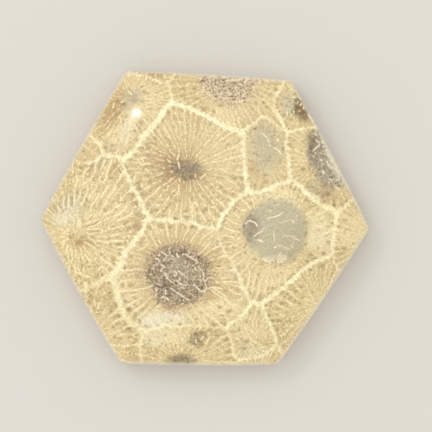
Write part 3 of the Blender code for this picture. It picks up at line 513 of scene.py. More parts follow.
chambers("olive",(-5.1,3.85,0.2,0.12),(-4.3,3.65,0.2,0.1),(-4.6,3.36,0.14,0.1),(-4.95,3.2,0.27,0.14),
(-3.95,3.83,0.17,0.1),(-3.8,3.35,0.15,0.15),(-4.35,2.92,0.24,0.14,40),(-3.65,2.75,0.2,0.13),
(-5.15,1.3,0.32,0.2,90),(-4.95,1.12,0.12,0.1),(-3.45,1.45,0.15,0.1,30),(-3.15,1.25,0.2,0.15),
(-3.1,1.95,0.14,0.13,90),(-4.8,0.6,0.28,0.2,60),(-3.5,0.75,0.2,0.14,90),(-3.8,0.65,0.2,0.13),
(-4.2,0.08,0.26,0.12,-20),(-2.35,0.55,0.16,0.1),(-1.8,0.1,0.2,0.14,90),(-0.95,1.25,0.1,0.08),
(-1.05,2.7,0.15,0.08,90),(-1.7,2.35,0.1,0.08),(-0.45,2.55,0.14,0.1),(-0.1,1.97,0.15,0.1,40),
(0.2,1.67,0.17,0.15),(1.2,3.7,0.2,0.15),(0.05,3.65,0.17,0.1,30),(0.1,3.25,0.16,0.1),(0.55,2.75,0.2,0.15,30),
(0.95,2.95,0.12,0.08,90),(1.5,2.8,0.3,0.15,30),(2.65,3.6,0.25,0.16),(2.9,3.7,0.15,0.1),
(2.45,3.15,0.13,0.1,-40),(3.42,3.4,0.25,0.07,-80),(3.4,2.75,0.3,0.12,-40),(3.42,2.58,0.2,0.13),
(0.6,1.8,0.16,0.15),(-0.2,2.05,0.13,0.12),(1.25,1.95,0.17,0.12,-50),(2.1,1.75,0.2,0.08,80),
(0.45,1.45,0.16,0.12,90),(0.6,1.2,0.2,0.1),(0.25,1.25,0.12,0.1),(1.15,1.4,0.12,0.1),(1.9,1.35,0.13,0.1),
(1.85,0.75,0.12,0.1),(-0.65,0.75,0.22,0.12,90),(0.65,0.8,0.2,0.14,30),(0.45,-0.25,0.25,0.15),
(-0.15,-0.7,0.22,0.1),(-5.85,6.5,0.13,0.1,90),(-5.6,6.4,0.13,0.1,90),(-4.1,6.3,0.12,0.1),
(-4.3,6.1,0.13,0.1),(-4.1,5.9,0.13,0.1),(-6.35,5.9,0.22,0.14,60),(-6.65,5.75,0.1,0.08,90),
(-6.3,5.7,0.13,0.12),(-4.05,5.55,0.12,0.1),(-6.98,5.3,0.16,0.1),(-6.75,5.25,0.2,0.12),(-6.35,5.2,0.13,0.11),
(-6.05,4.8,0.11,0.1),(-6.1,4.4,0.16,0.1,90),(-5.55,4.5,0.15,0.1),(-5.75,3.7,0.16,0.1,90),
(-5.1,3.8,0.17,0.12,30),(-4.6,4.1,0.12,0.1),(-5.45,3.85,0.1,0.08),(-5,3.42,0.15,0.1),(-5.95,2.7,0.3,0.2),
(-5.75,2.2,0.22,0.2),(-5.4,1.95,0.15,0.13),(-5.65,1.75,0.2,0.17),(-3.9,4.45,0.12,0.1),
(-4.15,4.3,0.2,0.1,30),(-6.45,3.9,0.25,0.1,80),(-4.3,3.6,0.16,0.1),(-0.95,4.2,0.25,0.2),
(3.9,2.05,0.2,0.14,-20),(3.2,1.65,0.22,0.13),(2.72,1.05,0.2,0.1,30),(1.95,0.2,0.2,0.15,30),
(1.6,-0.4,0.3,0.12,70),(1.5,-0.9,0.2,0.14,70),(4.2,-10.75,0.2,0.1,-80),(4.9,-11.07,0.3,0.1,-20),
(3.57,-11.87,0.38,0.14),(2.93,-11.2,0.16,0.12),(4.12,-9.55,0.3,0.09,90),(3.85,-9.4,0.35,0.09,85),
(4.9,-9.6,0.33,0.08,90),(4.1,-8.6,0.33,0.14,90),(2.65,-10.35,0.28,0.13),(6.5,-8.75,0.2,0.12),
(7.4,-9.4,0.2,0.16),(6.6,-9.8,0.15,0.09,90),(8.2,-7.6,0.18,0.14,90),(7.8,-7.2,0.22,0.18),
(7.5,-8.6,0.28,0.11,90),(7.1,-7.8,0.25,0.22),(6.7,-8.3,0.38,0.13),(5.3,-10.85,0.28,0.06,30),
(8.3,-9.35,0.28,0.1),(2.67,-9.64,0.2,0.12,90),(0.5,-10.27,0.28,0.2),(1.5,-10.3,0.2,0.18),
(1.86,-10.5,0.2,0.1,60),(0.6,-11.2,0.4,0.13,35),(1.3,-11.5,0.3,0.09,35),(0.4,-11.6,0.3,0.12,40),
(1.83,-9.7,0.2,0.13,90),(2.35,-9.3,0.15,0.1),(-2.1,-11.42,0.2,0.08,80),(-3.66,-12.22,0.2,0.07,-45),
(-3.4,-12.5,0.2,0.07,-40),(-1.27,-12.05,0.22,0.09,55),(-0.75,-12.47,0.2,0.05,35),(-2.65,-11.6,0.2,0.09,90),
(-3.05,-11.4,0.15,0.11),(-10.76,-5.63,0.3,0.18),(-10.4,-5.9,0.17,0.09),(-9.64,-5.83,0.25,0.1,-40),
(-7.6,-5.37,0.15,0.12),(-7.9,-5.55,0.12,0.1),(-8.1,-6.2,0.25,0.15),(-6.8,-6.1,0.3,0.2),
(-8.54,-7.27,0.2,0.12,90),(-8.7,-7.8,0.2,0.1,95),(-7.8,-7.44,0.15,0.12,90),(-9.2,-7.25,0.17,0.15),
(-8.55,-8.5,0.4,0.2,50),(-8.2,-9,0.32,0.2,30),(-7.74,-8.5,0.13,0.09),(-6.33,-8.9,0.4,0.2,80),
(-6.57,-10.38,0.22,0.15,50),(-6.87,-10.85,0.2,0.15),(-7.2,-6.8,0.13,0.1),(-7.6,-6.87,0.14,0.1),
(-7.55,-10.15,0.13,0.09),(-6.67,-11.72,0.25,0.1),(1.45,-1.15,0.25,0.1,85),(2.6,-1.55,0.12,0.1),
(3.12,-1.55,0.15,0.12),(1.95,-1.85,0.32,0.1),(2.6,-2.6,0.13,0.1),(1.25,-2.8,0.14,0.12),(2,-2.8,0.16,0.1,90),
(2.1,-2.45,0.13,0.1),(2.25,-0.42,0.14,0.07),(3.05,1.45,0.12,0.1,60),(3.65,1.85,0.17,0.1,30),
(4.55,2.25,0.2,0.12),(4.82,2.1,0.16,0.12),(4.85,1.85,0.15,0.12),(3.15,0.5,0.13,0.08),(6.2,-3.95,0.2,0.1),
(7.8,-4.05,0.17,0.1),(7.55,-3.85,0.2,0.1),(3.05,-4.5,0.22,0.15,30),(3.05,-4.85,0.2,0.1),
(2.7,-4.15,0.1,0.08),(3.65,-5.95,0.25,0.1,85),(4.15,-5.5,0.2,0.08,85),(4.05,-6.8,0.22,0.13),
(3.95,-6.55,0.12,0.1),(5.3,-5.6,0.2,0.08,75),(5.6,-6.47,0.17,0.09,85),(5.8,-6.4,0.3,0.12,85),
(5.85,-6.85,0.22,0.11,20),(4.5,-6.9,0.2,0.08,85),(4.35,-7.2,0.17,0.07,85),(4.45,-7.5,0.13,0.09),
(4.95,-7.5,0.17,0.13),(5,-7.1,0.28,0.18,80),(5.35,-7,0.14,0.1,80),(7.05,-6.1,0.26,0.19,20),
(7.6,-5.55,0.22,0.13,50),(7.72,-5.35,0.15,0.1,50),(8.05,-5.15,0.22,0.11,25),(8.65,-4.7,0.22,0.13,60),
(8.2,-5.75,0.17,0.16),(6.4,-6.5,0.17,0.13),(6.15,-6.35,0.26,0.14,80),(5.9,-5.4,0.16,0.08,80),
(6.1,-5.15,0.1,0.08),(6.35,-5.6,0.16,0.06,85),(7.5,-6.95,0.16,0.11,10),(7.7,-7.4,0.22,0.15),
(7.7,-6.15,0.27,0.1,10),(8.05,-6.35,0.16,0.09),(8.3,-6.7,0.2,0.17),(8.2,-7.55,0.22,0.16,60),
(6.05,-7.6,0.14,0.13),(6.95,-7.8,0.16,0.14),(8.65,-7.8,0.22,0.18),(5.5,-7.9,0.22,0.11),(5.35,1.95,0.12,0.1),
(6.1,1.8,0.12,0.12),(5.85,1.7,0.15,0.15),(6.6,2.55,0.17,0.08),(6.6,2.2,0.12,0.1),(7.1,2.7,0.13,0.1),
(8.65,2.7,0.25,0.12,80),(8.55,1.9,0.15,0.15),(10.1,1.15,0.12,0.12),(11.35,0.25,0.2,0.15),
(9.25,1.6,0.25,0.2),(9.3,-4.2,0.25,0.1),(8.65,-4.45,0.2,0.12),(12.75,-0.2,0.19,0.13),
(13.22,0.26,0.25,0.09,-35),(10.6,-4.35,0.3,0.25),(5.2,2.75,0.15,0.1),(6.8,3.3,0.15,0.15),
(10.05,2.1,0.15,0.15),(-2,-0.6,0.25,0.12),(-1.05,-0.75,0.3,0.18),(-5.75,-2.25,0.22,0.25),
(-6.7,-3.5,0.25,0.2),(-7.25,-4.6,0.22,0.12,90),(2.85,-5.5,0.25,0.2),(0.6,-4.1,0.2,0.14),(-9,-6.55,0.12,0.1),
(-8.65,-6.8,0.15,0.08),(-8.57,-7.25,0.2,0.12,90),(-8.12,-7.88,0.2,0.1,-50),(-10.4,-7.1,0.2,0.15),
(-7.58,-5.4,0.2,0.12,90),(-7.9,-5.6,0.1,0.1),(-7.05,-5.54,0.15,0.07),(-7.36,-5.15,0.1,0.1),
(-6.15,-5.2,0.2,0.2),(-5.86,-4.96,0.2,0.12),(-6.12,-5.44,0.1,0.07),(-6.75,-6.05,0.3,0.17),
(-6.8,-6.25,0.12,0.1),(-6.48,-6.03,0.13,0.08,90),(-6.22,-6.38,0.13,0.06),(-7.2,-6.8,0.13,0.12),
(-6.4,-6.78,0.22,0.08,5),(-6.74,-6.87,0.1,0.08),(-7.88,-6.65,0.12,0.1),(-7.58,-6.9,0.16,0.1,-20),
(-7.39,-7.07,0.15,0.07),(-6.45,-7.2,0.2,0.12),(-6.25,-7.32,0.12,0.1),(-6.9,-7.68,0.1,0.09),
(-7.84,-7.46,0.16,0.1,-50),(-5.76,-7.62,0.18,0.15,90),(-5.5,-7.52,0.1,0.1),(-6.38,-7.88,0.2,0.13,30),
(-6.19,-8.12,0.13,0.1),(-7.06,-8.27,0.15,0.1,90),(-5.28,-7.98,0.16,0.12),(-5.37,-8.17,0.13,0.09),
(-5.7,-8.35,0.3,0.18,35),(-6.19,-8.63,0.15,0.1,90),(-6.32,-8.85,0.3,0.15,90),(-6.48,-9.24,0.12,0.12),
(-8.04,-8.04,0.15,0.08,90),(-7.36,-9.3,0.16,0.12),(-4.63,-8,0.12,0.09),(-0.56,-7.56,0.17,0.07),
(0.14,-7.64,0.21,0.11),(0.14,-7.4,0.21,0.08),(1.6,-8.85,0.26,0.12),(0.84,-8.65,0.14,0.07),
(-1.07,-8.9,0.13,0.1,90),(-1.69,-8.89,0.17,0.06,-15),(-0.75,-9.16,0.17,0.14),(-0.21,-9.78,0.17,0.08,60),
(-2.28,-8.75,0.13,0.1),(-2.74,-8.7,0.17,0.11),(1.39,-9.47,0.26,0.1,-20),(1.85,-9.7,0.17,0.08,90),
(-11.6,2.3,0.27,0.13,90),(-11.62,1.8,0.16,0.14),(-11.1,2.1,0.18,0.12,60),(-10.9,2.6,0.2,0.15,90),
(-12.6,1.4,0.5,0.17,90),(-10.38,2.5,0.15,0.12,90),(-9.38,5.28,0.2,0.15,70),(-9.56,4.7,0.5,0.25,80),
(-10.6,3.78,0.35,0.12,15),(-9.33,3.5,0.2,0.1),(-8.5,3.62,0.35,0.17),(-8.55,4.2,0.3,0.15,50),
(-11.27,4.05,0.25,0.1,30),(-9.9,0.86,0.2,0.09,-30),(-10.07,1.13,0.12,0.12),(-9.48,1.36,0.3,0.15,60),
(-10.6,0.94,0.2,0.08),(-12.56,0.8,0.15,0.1),(-10.3,-1.23,0.35,0.1),(-9.7,-1.17,0.25,0.1),
(-10.2,-1.75,0.35,0.1,-10),(-9.25,-0.6,0.15,0.12),(-8.9,-0.6,0.2,0.08,90),(-8.2,-1.3,0.2,0.12),
(-8.65,-1.3,0.15,0.15),(-8.6,-1.8,0.2,0.12,30),(-9.55,-2.3,0.3,0.1,-15),(-8.6,-2.45,0.3,0.15,90),
(-8.26,0.37,0.2,0.1,20),(-8.04,0.75,0.15,0.1,20),(-7.8,0.1,0.15,0.1,90),(-7.28,0.33,0.2,0.12,90),
(-6.6,-0.08,0.15,0.15),(-6.8,0.7,0.15,0.15),(-6.1,0.3,0.35,0.3),(-7.7,-1.2,0.2,0.12),(-7.9,-1.74,0.3,0.15),
(-7.58,-1.85,0.12,0.08,90),(-7.08,-1.82,0.12,0.1,90),(-6.76,-2.12,0.13,0.12),(-8.64,-2.9,0.1,0.08),
(-7.25,1.5,0.22,0.1,55),(-11.1,0.14,0.16,0.08,90),(-11,-0.3,0.2,0.12),(-9.4,-3.3,0.18,0.16,-30),
(-9.1,-3.5,0.13,0.12),(-10.3,-2.68,0.12,0.06,-60),(-10.72,-4.04,0.13,0.12),(-9.8,-3.88,0.12,0.06),
(-11.15,-4.35,0.3,0.2,90),(-11.2,-4.75,0.13,0.1),(-8.96,-5.4,0.16,0.07,50),(-9.7,-5.8,0.3,0.12,-25),
(-10.75,-5.65,0.3,0.12),(-8.6,-4.75,0.3,0.25),(-11.9,-3.22,0.16,0.06,90),(-12.67,-3.5,0.1,0.1),
(-13.13,-2.56,0.1,0.07),(-12.35,-0.4,0.2,0.1,-60),(-12.6,-0.85,0.12,0.1),(-8.2,9.9,0.15,0.12),
(-7.12,9.3,0.2,0.14,70),(-7.45,8.75,0.2,0.15,90),(-8,9,0.25,0.1),(-9.43,7.98,0.16,0.1),
(-8.05,7.62,0.2,0.07),(-8.35,7.6,0.14,0.08),(-8.37,6.6,0.2,0.18),(-5.33,8.06,0.12,0.1),
(-5.86,7.83,0.12,0.1),(-6.26,6.87,0.25,0.14,60),(-6.3,7.2,0.18,0.13),(-6.8,6.3,0.25,0.18,90),
(-5,10.97,0.2,0.08),(-5.15,10.66,0.25,0.06),(-5,10.3,0.25,0.07),(-4.2,10.36,0.2,0.1,90),
(-4.2,9.9,0.15,0.12),(-3.76,12.08,0.12,0.1,90),(-4.7,12.25,0.15,0.12),(-6.85,11.68,0.14,0.07,-45),
(-5.28,7.07,0.15,0.09),(-6.3,6.1,0.15,0.1),(-0.9,11.75,0.3,0.2),(5.25,12.3,0.3,0.12,90),
(4.65,10.55,0.2,0.12,90),(4.8,11.3,0.15,0.15),(5.2,10.9,0.25,0.1,90),(5.95,11.2,0.2,0.15),
(5.65,10.1,0.3,0.15),(-0.4,10.5,0.25,0.08),(-0.9,10.15,0.2,0.18),(-1.35,9.85,0.15,0.15),
(-1.8,10.9,0.15,0.15),(-1.9,11.8,0.15,0.15),(0,9.7,0.15,0.12),(4.15,7.75,0.2,0.1,90),
(5.25,8.3,0.22,0.08,-35),(4.9,8.6,0.2,0.1,90),(4.1,6,0.15,0.1),(7.27,7.6,0.22,0.12,90),
(6.88,8.4,0.15,0.1,90),(6.85,5.2,0.3,0.13,90),(7.8,6.7,0.2,0.15),(5.5,3.9,0.4,0.15),(7.1,6.8,0.14,0.12),
(6.65,10.65,0.15,0.1),(6.55,10.25,0.15,0.1),(7,10.3,0.15,0.15),(7.7,9.4,0.2,0.06,90),(7.15,9.2,0.15,0.12),
(7.4,8.5,0.25,0.2,90),(7.8,8.95,0.2,0.12),(6.88,8.45,0.2,0.1,-60),(8.65,8.8,0.12,0.1),(8.9,6.9,0.2,0.15),
(9.2,7.1,0.12,0.1),(9.45,6.75,0.15,0.12),(10.1,5.67,0.15,0.08),(9.8,4.2,0.2,0.1,80),(10.3,4.05,0.15,0.08),
(10.65,3.55,0.2,0.15),(10.3,3.45,0.15,0.13),(9.97,3.35,0.12,0.12),(9.8,2.8,0.2,0.1),
)
chambers("brown",(-3.65,3.5,0.17,0.1,-60),(-4.8,2.67,0.16,0.09,20),(-4.8,1.72,0.16,0.15),
(-3.9,1.4,0.13,0.08,30),(-2.8,2.25,0.13,0.12),(-4.4,0.75,0.22,0.18),(-3.75,0.2,0.3,0.15),
(-2.55,1.5,0.22,0.1,80),(-1.75,0.65,0.32,0.14,10),(-1.15,1.75,0.3,0.07,85),(-1.45,2.25,0.1,0.08),
(-0.65,2.85,0.13,0.1,90),(-0.1,0.5,0.12,0.1),(0.15,0.85,0.22,0.18),(-3.4,3.75,0.22,0.18),
(0.35,2.25,0.12,0.1),(0.8,2.3,0.14,0.11),(1.7,1.7,0.14,0.12),(2.5,2.2,0.25,0.15),(1.45,0.82,0.4,0.24,-40),
(1.4,0.6,0.1,0.1),(-0.05,0.7,0.3,0.22),(-0.05,0.4,0.1,0.08),(0.95,0.3,0.14,0.12),(-4.45,6.75,0.17,0.13),
(-4.85,6.8,0.2,0.12),(-5.3,6.3,0.12,0.1),(-5.1,6.35,0.17,0.15),(-5.5,5.75,0.2,0.13),(-5.2,5.72,0.25,0.13),
(-4.85,5.65,0.25,0.15,-10),(-4.5,5.63,0.2,0.12),(-5.05,5.55,0.15,0.1),(-4.7,5.35,0.14,0.1),
(-4.6,5.15,0.12,0.1),(-5.75,5.2,0.2,0.08,-50),(-5.45,5.25,0.22,0.12,-50),(-5.1,5.2,0.13,0.1),
(-4.25,5.05,0.15,0.1),(-5.3,4.65,0.3,0.12),(-4.75,4.65,0.17,0.15),(-3.55,4.8,0.2,0.1),(-3.3,4.45,0.17,0.13),
(-3.7,3.5,0.16,0.1,80),(-4.6,3.4,0.12,0.08),(-4.9,3.2,0.2,0.1),(-5.85,3.35,0.16,0.1,30),
(-6.05,3,0.27,0.12,80),(-4.8,2.7,0.13,0.1),(-3.55,5.4,0.3,0.2,-30),(-0.4,3.95,0.22,0.14),
(-1.65,3.3,0.12,0.1),(-2.9,3.9,0.3,0.2),(2.75,0.75,0.22,0.1,30),(2.2,0.45,0.12,0.1),(4.2,1.35,0.2,0.2),
(3.8,-11.2,0.3,0.22),(4.95,-8.7,0.28,0.1,90),(5.95,-8,0.13,0.12),(7,-6.8,0.35,0.18,30),(7.3,-7.2,0.16,0.1),
(8.9,-7.2,0.25,0.1),(9.8,-6.77,0.2,0.14,90),(8.8,-8.42,0.2,0.1,20),(4.55,-9.6,0.28,0.06,90),
(5.6,-11.17,0.3,0.05,5),(5.7,-10.75,0.28,0.09,30),(4.65,-11.6,0.2,0.14),(6.6,-10.2,0.25,0.18,90),
(7.1,-10.1,0.2,0.1),(5.6,-11.5,0.3,0.09),(3.3,-11,0.2,0.1),(-2.95,-11.87,0.2,0.08,-70),
(-3.54,-11.6,0.2,0.09,80),(-3.8,-11.3,0.12,0.08,90),(-4.52,-12.49,0.16,0.09),(-3.2,-12.7,0.25,0.1),
(-4.1,-11.7,0.2,0.09,90),(-4.9,-11.8,0.15,0.09,90),(-5.1,-12.2,0.2,0.12),(-4.4,-12.1,0.3,0.09,-40),
(-5,-11.1,0.2,0.09,-60),(2,-11.1,0.3,0.14),(1.8,-12.34,0.16,0.07,30),(0.7,-12.85,0.15,0.06),
(0.9,-9.7,0.28,0.2),(-5.3,-12.65,0.1,0.08),(-3.3,-11.95,0.1,0.08),(-7.45,-6.12,0.25,0.18,90),
(-10.38,-7.2,0.2,0.1,90),(-10.1,-8.2,0.15,0.09,90),(-9.3,-8.35,0.16,0.06,80),(-7.9,-9.6,0.27,0.18,20),
(-6.47,-11.33,0.3,0.1,15),(-9.05,-9.85,0.22,0.06,20),(-8.97,-10.2,0.17,0.06,20),(-8.8,-10.55,0.2,0.05),
(-7.7,-10.9,0.3,0.11),(-8.2,-10.87,0.2,0.12),(-5.95,-9.4,0.3,0.1,-70),(-6.85,-7.67,0.12,0.1),
(-11.35,-5.35,0.25,0.09,-60),(-8.35,-9.85,0.16,0.12),(-6.8,-12.3,0.15,0.1,90),(-9.9,-7.2,0.2,0.08,90),
(2.25,-1.55,0.13,0.08),(3.15,-1,0.15,0.12),(3.9,0.97,0.16,0.09,-60),(3.7,1.15,0.12,0.1),
(3.7,-3.2,0.17,0.11),(4.55,-3.75,0.27,0.12,-20),(5.4,-4,0.32,0.12),(6.87,-4.25,0.18,0.13,80),
(8.15,-3.8,0.22,0.13,20),(3.65,-4.45,0.16,0.09,80),(4.2,-6,0.22,0.08,85),(4.7,-5.7,0.25,0.11,85),
(4.9,-5.15,0.24,0.12,85),(6.6,-5.2,0.2,0.12,80),(6.95,-4.95,0.16,0.1),(7.15,-6.75,0.22,0.13,30),
(7.3,-7.15,0.13,0.11),(8.7,-6.2,0.16,0.13),(8.9,-7.25,0.12,0.1),(4.5,-0.8,0.15,0.2),(6.4,-4.45,0.2,0.13),
(5.95,-8,0.12,0.1),(4.55,2.9,0.3,0.15,90),(5.55,3.25,0.3,0.2),(11.2,-2.2,0.25,0.2),(9.6,-3.35,0.3,0.2),
(12.2,-0.75,0.2,0.15),(12.9,-1.05,0.12,0.12),(12.2,-1.95,0.12,0.12),(9.2,-1.4,0.3,0.15,90),
(9.15,-2.4,0.2,0.15),(7.4,3.7,0.2,0.15),(12.8,1.5,0.25,0.15),(12.4,1.4,0.2,0.1,90),(10.9,1.5,0.25,0.1,80),
(10.7,1.95,0.25,0.1,80),(12.7,-2.8,0.3,0.2),(-4,-0.75,0.35,0.25),(-3.1,-0.8,0.3,0.25),(2.2,-8.5,0.35,0.22),
(1.4,-8.1,0.25,0.2),(1.2,-4.4,0.2,0.13),(1.2,-6.1,0.22,0.13),(1.9,-6.6,0.22,0.14),(3,-6.5,0.25,0.18),
(-3.3,-8.1,0.6,0.25),(-3.8,-5.2,0.15,0.1,90),(-5.28,-4.42,0.14,0.1),(2.05,-5.62,0.45,0.06),
(-7.2,-5.3,0.13,0.12),(-6.7,-5.25,0.22,0.08,90),(-7.49,-6.13,0.26,0.22,90),(-7.22,-7.55,0.25,0.2,90),
(-6.8,-8.35,0.32,0.25,70),(-5,-8.33,0.13,0.12),(-5.86,-9.3,0.16,0.12,90),(-7.71,-8.5,0.16,0.09),
(-7.8,-8.9,0.25,0.2),(0.6,-6.94,0.21,0.11,45),(0.8,-7.25,0.32,0.12,-20),(1.85,-7.68,0.11,0.1),
(-0.33,-8.6,0.19,0.11),(-1.5,-9.16,0.17,0.11,90),(-2.98,-9.3,0.24,0.14),(0.88,-9.78,0.22,0.12),
(-3.2,-8.3,0.3,0.1),(-0.72,-7.2,0.09,0.12),(-12.1,1.55,0.55,0.17,90),(-10.65,1.65,0.35,0.2,-50),
(-10.9,1.2,0.2,0.15,90),(-11.25,1.5,0.3,0.12,70),(-9.77,2.45,0.17,0.09,-10),(-9.2,2.55,0.12,0.06,60),
(-9.64,2.75,0.15,0.15),(-9.28,4.33,0.22,0.09,50),(-8.97,4.9,0.35,0.12,50),(-8.74,5.38,0.25,0.12,45),
(-10.26,4.7,0.45,0.2,40),(-10.7,4.75,0.2,0.1,40),(-10.5,4.3,0.4,0.2,45),(-9.75,3.74,0.2,0.15,-60),
(-10.1,3.58,0.3,0.12,60),(-8.23,4.7,0.4,0.3,60),(-11.3,4.56,0.3,0.15,-30),(-11.86,3.97,0.15,0.12),
(-12.05,3.74,0.25,0.1,60),(-12.44,3.2,0.1,0.07,60),(-12.5,2.7,0.25,0.06,90),(-9.05,0.7,0.22,0.2),
(-13.1,1,0.2,0.12,-50),(-13.55,0.75,0.3,0.08,-40),(-12.9,0.62,0.2,0.15,90),(-8.27,-0.8,0.25,0.08,20),
(-9.3,-1.9,0.2,0.06),(-9,-2.42,0.1,0.1),(-9.7,-2.7,0.25,0.12,-20),(-7.66,-0.38,0.12,0.08),
(-7.28,-0.53,0.15,0.12),(-7.1,-0.3,0.25,0.15,20),(-6.15,-0.6,0.45,0.3,45),(-6.45,-0.8,0.2,0.2),
(-7.13,-0.8,0.1,0.1),(-6.9,-1.4,0.1,0.1),(-6.5,-1.35,0.2,0.15),(-7.2,-2.27,0.25,0.15,20),
(-7.8,-2.4,0.45,0.2),(-7.8,-2.87,0.26,0.1,10),(-7.8,1.45,0.15,0.15),(-11.25,-3.75,0.25,0.07,-80),
(-10.87,-3.65,0.1,0.08),(-10.1,-4.1,0.25,0.07,-10),(-10.5,-4.4,0.22,0.1,20),(-11.57,-4.74,0.16,0.05,-60),
(-11.55,-4,0.08,0.08),(-9.78,-4.35,0.2,0.12,20),(-9.4,-4.74,0.15,0.1,90),(-9.33,-5.2,0.1,0.1),
(-8.77,-5.87,0.15,0.1),(-8.35,-3.75,0.36,0.34),(-8.25,-4.2,0.2,0.2),(-12.08,-4.54,0.2,0.05,90),
(-12.24,-3.7,0.35,0.1,80),(-11.45,-2.2,0.4,0.3),(-11.1,-1.75,0.25,0.16,20),(-12.2,-1.75,0.2,0.15),
(-11.93,-1.5,0.15,0.08,90),(-11.18,-2.3,0.15,0.06),(-9.55,0.75,0.25,0.1,90),(-10.4,-4.4,0.15,0.1),
(-6.35,-0.3,0.2,0.15),(-5.45,11.4,0.4,0.2,-20),(-5.8,8.7,0.35,0.28,-60),(-5.25,8.95,0.15,0.1),
(-9,8.72,0.2,0.09,45),(-8.75,8.42,0.25,0.07,45),(-8.5,8.33,0.25,0.06,55),(-8.07,8.4,0.15,0.07,80),
(-8.82,6.85,0.18,0.08,-60),(-6.8,7.27,0.15,0.1),(-6.8,6.85,0.15,0.13),(-5,9.88,0.3,0.08),
(-4.47,6.7,0.25,0.1),(-5,6.8,0.25,0.12),(-7.9,10.6,0.25,0.2),(-4.35,11.4,0.2,0.08),(0.35,11.95,0.1,0.08),
(-0.8,10.88,0.35,0.12),(0.95,11.45,0.15,0.08,90),(0.75,12.75,0.1,0.1),(3.15,12.4,0.25,0.06),
(3.4,11.9,0.15,0.08),(3.65,10.9,0.12,0.12),(3.55,10.55,0.1,0.08),(3.35,11.2,0.1,0.08),(1.1,10.85,0.12,0.1),
(1.45,10.85,0.15,0.08),(1,10.6,0.12,0.12),(1.7,10.5,0.1,0.1),(1.55,10.25,0.35,0.2),(2.3,10.35,0.35,0.12),
(4.7,12.6,0.12,0.12),(0,9.95,0.4,0.25),(0.8,9.7,0.2,0.2),(4.85,4.35,0.2,0.15),(5.55,3.37,0.25,0.2),
(4.6,2.88,0.15,0.12,90),(4.2,5.15,0.25,0.15),(4.3,4.4,0.3,0.2),(8.8,9.35,0.3,0.2),(8.2,11.3,0.2,0.12),
(7.45,11.55,0.15,0.1),(8.55,10.1,0.5,0.35,80),(8.9,9.7,0.5,0.3,60),(9.45,7.4,0.12,0.12),
(8.95,4.45,0.3,0.25),(9.5,4.45,0.25,0.15,90),(10.85,2.9,0.3,0.2),(11.6,2.8,0.2,0.18),(10.35,2.3,0.2,0.12),
(11.15,2.2,0.45,0.3),
)
